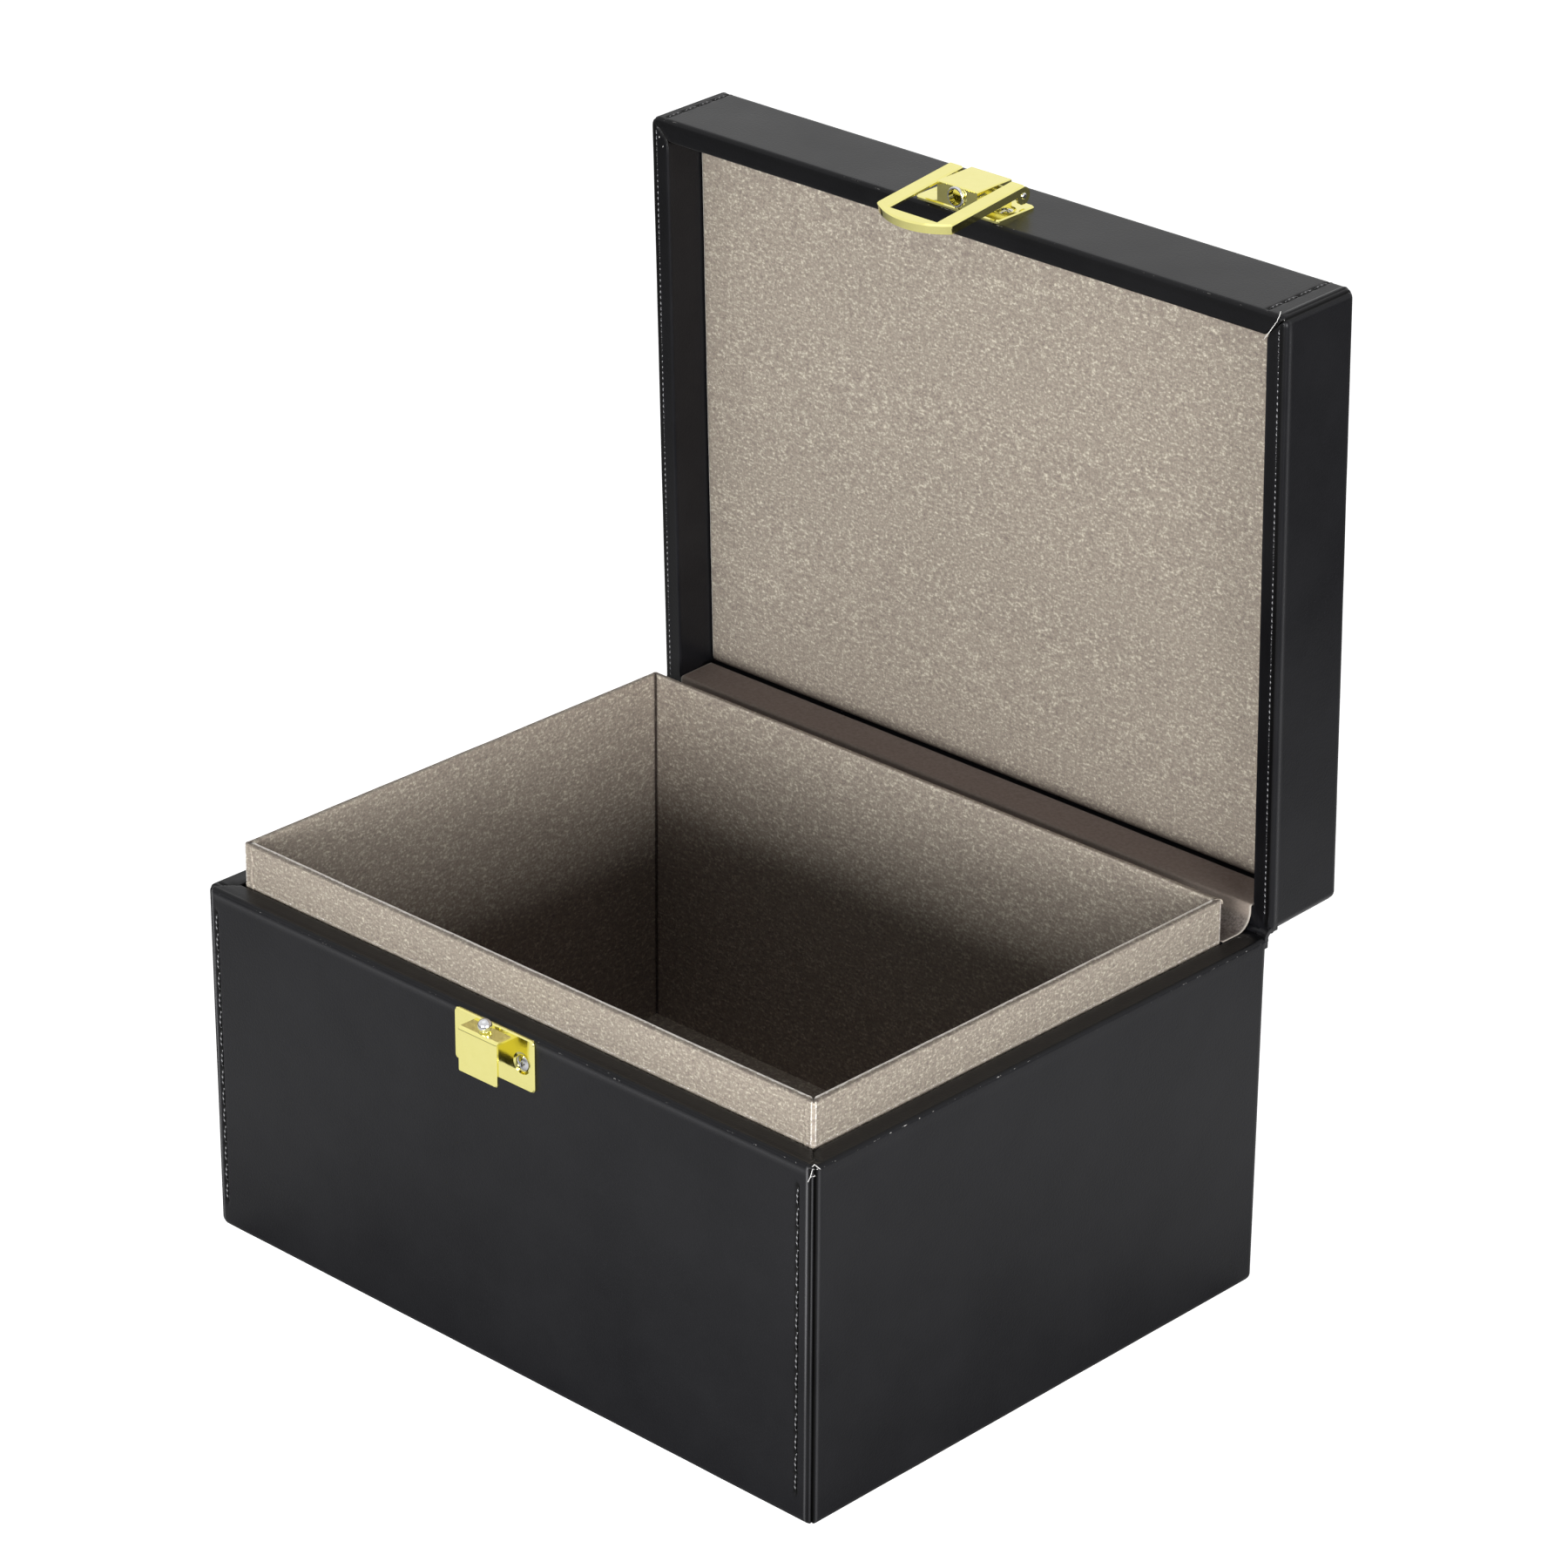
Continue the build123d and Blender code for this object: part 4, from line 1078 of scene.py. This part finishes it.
# %% [markdown]
# ### Ends of the lid
#
# Each end of the lid has its own panel, from half way round the top edge, over the rim and
# up into the recess. The wrap and the panel could be one mesh, but on the real lid a fine
# dark joint runs between them, and two pieces give that joint without any modelling.

# %% Lid side panels
def lid_panel(side):
    """The leather of one end of the lid: recess wall, rim, side and half of the top edge."""
    profile = [(lid_wall, lid_inside), (lid_wall, lid_rim_z), (0, lid_rim_z), (0, lid_top_z),
               (lid_wall, lid_top_z)]
    rows = folded(profile, [inner_r, rim_r, foot_r], leather_t, 0.5)
    past_half = (rows[:, 3] > 0.72) & (rows[:, 1] > lid_top_z - 2)      # past half of the top edge's round
    rows = rows[:int(np.argmax(past_half))]
    spots = [(-side_end, corner_zone, 0.16), (side_end, corner_zone, 0.16)]
    columns = column_places(-side_end, side_end, spots, 2.0)
    front, normals, seam = along_wall(rows, columns, side, half_d, half_w, corner_r)
    back, _, _ = along_wall(rows, columns, side, half_d, half_w, corner_r, thick_side=True)
    height = front[..., 2]
    backwards = columns[None, :] * (1 if side == "right" else -1)
    under_spine = between(backwards, 0, far) * between(height, -far, lid_rim_z + spine_leg, 0.4)
    on_rim = between(rows[:, 3:4], -far, -0.8, 0.1) * (rows[:, 0:1] < 5)
    wave = uneven(front, 0.02, seed=12.0) * np.clip(seam / 3, 0, 1)
    relief = dent(seam, 0.3, -0.34) * (1 - under_spine)
    rim_hem = dent(rows[:, 0:1] - 2.1, 0.36, 0.06) + dent(rows[:, 0:1] - 1.4, 0.24, -0.2)
    relief = relief + on_rim * rim_hem * np.clip((seam - 0.5) / 1.5, 0, 1)
    swell = dent(height - (lid_rim_z + 1.6), 0.45, 0.05) * (rows[:, 2:3] < -0.9)
    relief = relief + swell * np.clip(seam / 3, 0, 1)
    relief = relief + dent(height - (lid_top_z - 0.7), 0.3, -0.2) * (rows[:, 3:4] > 0.3)
    rubbed = dent(seam, 0.3, 1.0) * between(height, -far, lid_rim_z + 1.5, 0.6) * (backwards < 0)
    front = front + normals * (relief + wave)[..., None]
    front, back = squared(front, lid_rim_z), squared(back, lid_rim_z)
    wear_and_highlight = rubbed * noise_field(front, 0.9) * 0.3
    # Grooves are painted darker as shade and ridges lighter as highlights; the rim is painted darker as
    # shade.
    press_shade_and_highlight = relief / full_press - 0.5 * on_rim
    piece = sheet_mesh(f"lid_{side}_panel", front, back, leather, "lid", [f"lid_{side}_leather"],
                       wear_and_highlight, press_shade_and_highlight, lid_open)
    return piece


return_profile = [(lid_wall, lid_rim_z), (0, lid_rim_z), (0, lid_rim_z + spine_leg)]
for side in ("left", "right"):
    piece = lid_panel(side)
    back_corner(f"lid_{side}_return", side, return_profile, [rim_r], "lid", lid_open)
    print(piece.name, len(piece.data.polygons), "faces")

# %% [markdown]
# ## Thread on the lid
#
# The wrap's two rows run up the front, over the top and down the back, and a fine row is
# sewn beside the rim of each end. The helper that sewed the base sews the wrap too. The
# fine row has small flat arches, all alike, so one arch is written down and repeated.

# %% Sew the lid
for side, q in wrap_stitches.items():
    lines, normals = stitch_lines(q, wrap_holes, wrap_rows, wrap_rows[face_start, 6])
    tubes(f"wrap_thread_{side}", lines, normals, thread_r, thread, "lid", lid_open)
rim_stitch_x, rim_pitch, rim_stitch = 98.0, 1.45, 1.05
starts = np.arange(3.4 - half_d, half_d - 6, rim_pitch)
arch = [(rim_stitch * t, lid_rim_z - 0.02 - 0.07 * sin(pi * t)) for t in (0, 0.25, 0.5, 0.75, 1)]
for side, x in (("left", -rim_stitch_x), ("right", rim_stitch_x)):
    lines = [[(x, y + forth, z) for forth, z in arch] for y in starts]
    tubes(f"rim_thread_{side}", lines, [(0, 0, -1)] * len(lines), fine_thread_r, thread, "lid", lid_open)
worn_paths = [[(93.7, 149.3), (95.6, 152.0), (97.3, 154.5)], [(97.3, 154.5), (98.1, 156.3), (98.3, 157.2)],
              [(-97.2, 150.8), (-96.9, 151.2)], [(-96.0, 148.6), (-95.8, 149.0)]]
worn_paths = [[(x, half_d - from_back, lid_rim_z - 0.03) for x, from_back in path] for path in worn_paths]
strokes("lid_fibres", worn_paths, (0, 0, -1), fibre_r, "lid", lid_open)
print("lid sewn")

# %% [markdown]
# ## The lining panel in the lid
#
# A thin board with a little wadding under the cloth is pressed into the lid. Its edges are
# soft, most of all at the hinge, where the cloth dives into a crease and is painted darker
# towards it as shade. A height for every point of a grid is enough: full in the middle, and
# falling away in a quarter circle towards each edge.

# %% Lining panel
panel_x, panel_y = half_w - lid_wall - lining_gap, half_d - lid_wall - lining_gap
panel_z = lid_rim_z + recess_depth


def soft_places(half, low_r, high_r, step):
    """Places from -half to half, close together inside the rounded edges."""
    middle = np.arange(-half + low_r, half - high_r, step)
    low = -half + low_r * (1 - np.cos(np.linspace(0, pi / 2, 10)[:-1]))
    high = half - high_r * (1 - np.cos(np.linspace(pi / 2, 0, 10)))
    return np.concatenate([low, middle, high])


edge_r, hinge_edge_r = 1.2, 2.5
xs = soft_places(panel_x, edge_r, edge_r, 1.5)
ys = soft_places(panel_y, edge_r, hinge_edge_r, 1.5)
face = grid_of(xs, ys, panel_z)
x, y = face[..., 0], face[..., 1]
to_side, to_hinge, to_front = panel_x - np.abs(x), panel_y - y, panel_y + y
radius = np.where(to_hinge < 6, hinge_edge_r, edge_r)
in_x = np.clip(edge_r - to_side, 0, edge_r) / edge_r
in_y = np.clip(radius - np.where(y > 0, to_hinge, to_front), 0, radius) / radius
round_off = 1 - np.sqrt(np.clip(1 - in_x ** 2 - in_y ** 2, 0, 1))
face[..., 2] += round_off * np.where(in_y > in_x, radius, edge_r) * 0.98
from_edge = np.minimum(np.minimum(to_side, panel_y - np.abs(y)), 9.0)
face[..., 2] += 0.05 + uneven(face, 0.035, 21.0) + 0.12 * np.exp(-from_edge / 2.5)
behind = grid_of(xs, ys, panel_z + lining_t)
pale_edge = np.where(y < 0, dent(to_front - 0.5, 0.3, 1.0), 0) + dent(panel_x + x - 0.5, 0.3, 1.0)
# Painted shade: the cloth darkens towards the hinge crease.
crease = -1.1 * np.exp(-to_hinge / 1.6) - 0.3 * np.exp(-to_hinge / 6)
lining = sheet_mesh("lid_lining", face[::-1], behind[::-1], cloth, "lid", ["lining_fabric", "lining_board"],
                    0.7 * pale_edge[::-1], crease[::-1], lid_open, smooth=60)
print(lining.name, len(lining.data.polygons), "faces")

# %% [markdown]
# ## The two strips that bend
#
# The hinge has no metal: there is a spine strip of leather outside, and a satin strip
# inside that covers both back rims. Both are glued to the base and to the lid and bend
# between. Bones could bend them; here they are drawn as they lie with the lid open.

# %% Strips across the hinge
fold_z = hinge_point.z / MM


def on_lid(inwards, upwards):
    """Where a point of the shut lid stands when it is open: inwards from its back, up from its rim."""
    upwards = upwards + (lid_rim_z - rim_z) / 2
    depth = half_d - inwards * cos(lean) + upwards * sin(lean)
    return depth, fold_z + inwards * sin(lean) + upwards * cos(lean)


def bent_strip(name, rows, ends, material, slot_name, node, start, end, wave, proud=0.0):
    """A strip across the hinge, from its rows in depth and height, between two places along it.

    start and end, the points between which it leaves the base and joins the lid, are not used."""
    xs = column_places(*ends, [(ends[0], 1, 0.25), (ends[1], 1, 0.25)], 2.0)
    shape = (len(rows), len(xs))
    front, normals, back = (np.zeros((*shape, 3)) for _ in range(3))
    for grid, (i, j) in ((front, (0, 1)), (normals, (2, 3)), (back, (4, 5))):
        grid[..., 1], grid[..., 2] = rows[:, i:i + 1], rows[:, j:j + 1]
    front[..., 0] = back[..., 0] = xs
    over = np.clip(np.abs(xs) - (half_w - corner_r), 0, corner_r)
    sag = proud - 0.3 * (corner_r - np.sqrt(corner_r ** 2 - over ** 2))
    back = back + normals * np.where(sag < 0, sag, 0)[None, :, None]
    front = front + normals * (uneven(front, wave, 30.0) + sag)[..., None]
    cut_ends = dent(ends[1] - np.abs(front[..., 0]), 0.3, 0.9)
    lying = between(front[..., 2], -far, rim_z + 3.4, 1.2)
    satin_only = float(material is satin)
    piece = sheet_mesh(name, front, back, material, None, [node] if node else [], cut_ends * satin_only,
                       lying * satin_only, smooth=60)
    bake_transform(piece)
    return piece


print("a point 10 mm up the lid's back stands at", [round(v, 1) for v in on_lid(0, 10)], "when it is open")

# %% Spine leather
spine_x, fold_r = half_w - spine_end, 0.9
lid_clear, base_clear = 0.15, 0.1                  # between the spine's edges and the leather they meet
spine_line = [on_lid(0, spine_leg - lid_clear), (half_d, fold_z), (half_d, rim_z - spine_leg + base_clear)]
spine_rows = folded(spine_line, [fold_r], leather_t, 0.5)
spine_turn = (0, half_d, rim_z - 0.8), (0, half_d + 0.9, fold_z + 0.1)
bent_strip("spine_leather", spine_rows, (-spine_x, spine_x), leather, "leather", "hinge_leather",
           *spine_turn, 0.02)

# Past its ends the turned leather is bunched in the fold, and closes it to the corner.
bunch_t, bunch_leg, bunch_overlap, bunch_short = 1.3, 2.6, 0.4, 0.1
end_line = [on_lid(0, bunch_leg), (half_d, fold_z), (half_d, rim_z - bunch_leg)]
end_rows = folded(end_line, [fold_r], bunch_t, 0.3)
bunch_in, bunch_out = spine_x - bunch_overlap, half_w - bunch_short
for side, ends in (("left", (-bunch_out, -bunch_in)), ("right", (bunch_in, bunch_out))):
    bent_strip(f"spine_end_{side}", end_rows, ends, leather, "leather", None, *spine_turn, 0.02, 0.05)
print("spine leather made")

# %% Hinge strip
strip_half_t, strip_lift = 0.15, 0.17              # half its thickness, and its middle above the leather
turn, meet = on_lid(lid_wall + strip_lift, -strip_lift), on_lid(0, -strip_lift)
strip_z = rim_z + strip_lift
meet_y = turn[0] + (meet[0] - turn[0]) / (meet[1] - turn[1]) * (strip_z - turn[1])
strip_top = on_lid(lid_wall + strip_lift, recess_depth - lining_gap)
strip_line = [(liner_back + lining_gap, strip_z), (meet_y, strip_z), turn, strip_top]
bend_r, turn_r, side_gap = 4.5, 0.6, 0.4
strip_rows = folded(strip_line, [bend_r, turn_r], 0.0, 0.45)
strip_rows[:, 0:2] += strip_rows[:, 2:4] * strip_half_t
strip_rows[:, 4:6] = strip_rows[:, 0:2] - strip_rows[:, 2:4] * 2 * strip_half_t
strip_x = half_w - lid_wall - side_gap
strip_turn = (0, meet_y - 4.4, rim_z + 0.1), (0, meet_y + 0.1, rim_z + 4.7)
strip = bent_strip("hinge_strip", strip_rows, (-strip_x, strip_x), satin, "hinge_strip", "hinge_lining",
                   *strip_turn, 0.03)
print(f"hinge strip is {strip_rows[-1, 6]:.1f} mm from end to end")

# %% [markdown]
# ## Finishes for the frame's own pieces
#
# The boards are hidden and the metal pieces already have their shape, so they keep their
# meshes. Each gets its material, and the gilt pieces a fine round on their edges.

# %% Finish the frame's pieces
gilt_nodes = {"catch_plate", "clasp_plate", "clasp_cover", "hasp_frame"}
steel_nodes = {"ball_stud", "catch_screws", "clasp_screws", "hasp_pin", "socket_ring"}
single_nodes = {"hinge_lining": satin, "lid_pad": foam, "base_bottom_cover": foot_paper}


def finish_of(name):
    """The material of one of the frame's nodes."""
    if name in gilt_nodes:
        return gilt
    if name in steel_nodes:
        return steel
    if "leather" in name:
        return leather
    if "fabric" in name:
        return cloth
    return single_nodes.get(name, board)


for name, node in nodes.items():
    node.data.materials.clear()
    node.data.materials.append(finish_of(name))
    if name in gilt_nodes:
        flatten = node.modifiers.new("merge flat faces", "DECIMATE")
        flatten.decimate_type, flatten.angle_limit = "DISSOLVE", radians(2)
        soften = node.modifiers.new("round edges", "BEVEL")
        soften.width, soften.segments = 0.16 * MM, 3
        soften.limit_method, soften.angle_limit = "ANGLE", radians(40)
        soften.harden_normals = False
print("finished", len(nodes), "pieces")

# %% [markdown]
# ## Floor and light
#
# A plain white floor and a pale room. The floor is lifted to white where the camera looks
# at it, and it keeps the box's shadow. Where a mirror looks at it, it glows with a painted
# pool of light that fades away from the box, darkened next to the box by a painted contact
# shadow. Three large soft lamps give the leather its sheen.

# %% Floor
floor_material, tree, shader = new_material("white floor", (0.86, 0.86, 0.86), 0.9, specular=0.1)
light_path = add(tree, "ShaderNodeLightPath")
mirrored = light_path.outputs["Is Glossy Ray"]
away = add(tree, "ShaderNodeVectorMath", operation="LENGTH")
give(tree, away.inputs[0], add(tree, "ShaderNodeNewGeometry").outputs["Position"])
# In reflections the floor glows with a painted pool of light that fades away from the box, times a painted
# contact shadow from occlusion.
occlusion = add(tree, "ShaderNodeAmbientOcclusion", samples=6)
give(tree, occlusion.inputs["Distance"], 0.12)
painted_contact_shadow = maths(tree, "POWER", occlusion.outputs["AO"], 2.0)
painted_glow_pool = maths(tree, "MULTIPLY", spread(tree, away.outputs["Value"], 0.24, 0.56, 0.92, 0.22), painted_contact_shadow)
seen = maths(tree, "MAXIMUM", light_path.outputs["Is Camera Ray"], light_path.outputs["Is Transmission Ray"])
lifted = maths(tree, "ADD", maths(tree, "MULTIPLY", seen, 0.98), maths(tree, "MULTIPLY", mirrored, painted_glow_pool))
give(tree, shader.inputs["Emission Strength"], lifted)
give(tree, shader.inputs["Emission Color"], (1, 1, 1))
give(tree, shader.inputs["Base Color"], mix_colour(tree, mirrored, (0.86, 0.86, 0.86), (0, 0, 0)))
floor_half = 6                                     # metres
corners = [(-floor_half, -floor_half, 0), (floor_half, -floor_half, 0), (floor_half, floor_half, 0),
           (-floor_half, floor_half, 0)]
mesh = bpy.data.meshes.new("floor")
mesh.from_pydata(corners, [], [(0, 1, 2, 3)])
mesh.materials.append(floor_material)
floor = bpy.data.objects.new("floor", mesh)
scene.collection.objects.link(floor)
print("floor laid")

# %% [markdown]
# The room is dim where it lights the box and white where it is looked at or mirrored. Black
# leather shows mostly what it reflects, so the lamps matter more than its colour: a wide
# low one in front and another at the right give each wall a soft fall of light, and a weak
# one overhead fills the top. Small lamps or a sun would leave hard spots on the coat.

# %% World and lamps
world = bpy.data.worlds.new("room")
scene.world = world
world.use_nodes = True
tree = world.node_tree
background = tree.nodes["Background"]
light_path = add(tree, "ShaderNodeLightPath")
seen = maths(tree, "MAXIMUM", light_path.outputs["Is Glossy Ray"], light_path.outputs["Is Transmission Ray"])
seen = maths(tree, "MAXIMUM", light_path.outputs["Is Camera Ray"], seen)
give(tree, background.inputs["Color"], (1, 1, 1))
give(tree, background.inputs["Strength"], spread(tree, seen, 0, 1, 0.07, 1.0))


def soft_lamp(name, place, aim, wide, tall, power):
    """A wide soft box aimed at a point; places are in millimetres, its size in metres."""
    lamp = bpy.data.lights.new(name, "AREA")
    lamp.shape, lamp.size, lamp.size_y, lamp.energy = "RECTANGLE", wide, tall, power
    lamp_object = bpy.data.objects.new(name, lamp)
    scene.collection.objects.link(lamp_object)
    lamp_object.location = Vector(place) * MM
    lamp_object.rotation_mode = "QUATERNION"
    lamp_object.rotation_quaternion = (Vector(aim) - Vector(place)).to_track_quat("-Z", "Y")


soft_lamp("front", (350, -1330, 290), (0, 0, 120), 0.9, 0.36, 22)
soft_lamp("right", (1400, -300, 290), (0, 0, 100), 0.8, 0.36, 18)
soft_lamp("overhead", (-200, -300, 1500), (0, 0, 80), 1.2, 1.2, 2)
scene.view_settings.view_transform = "Standard"
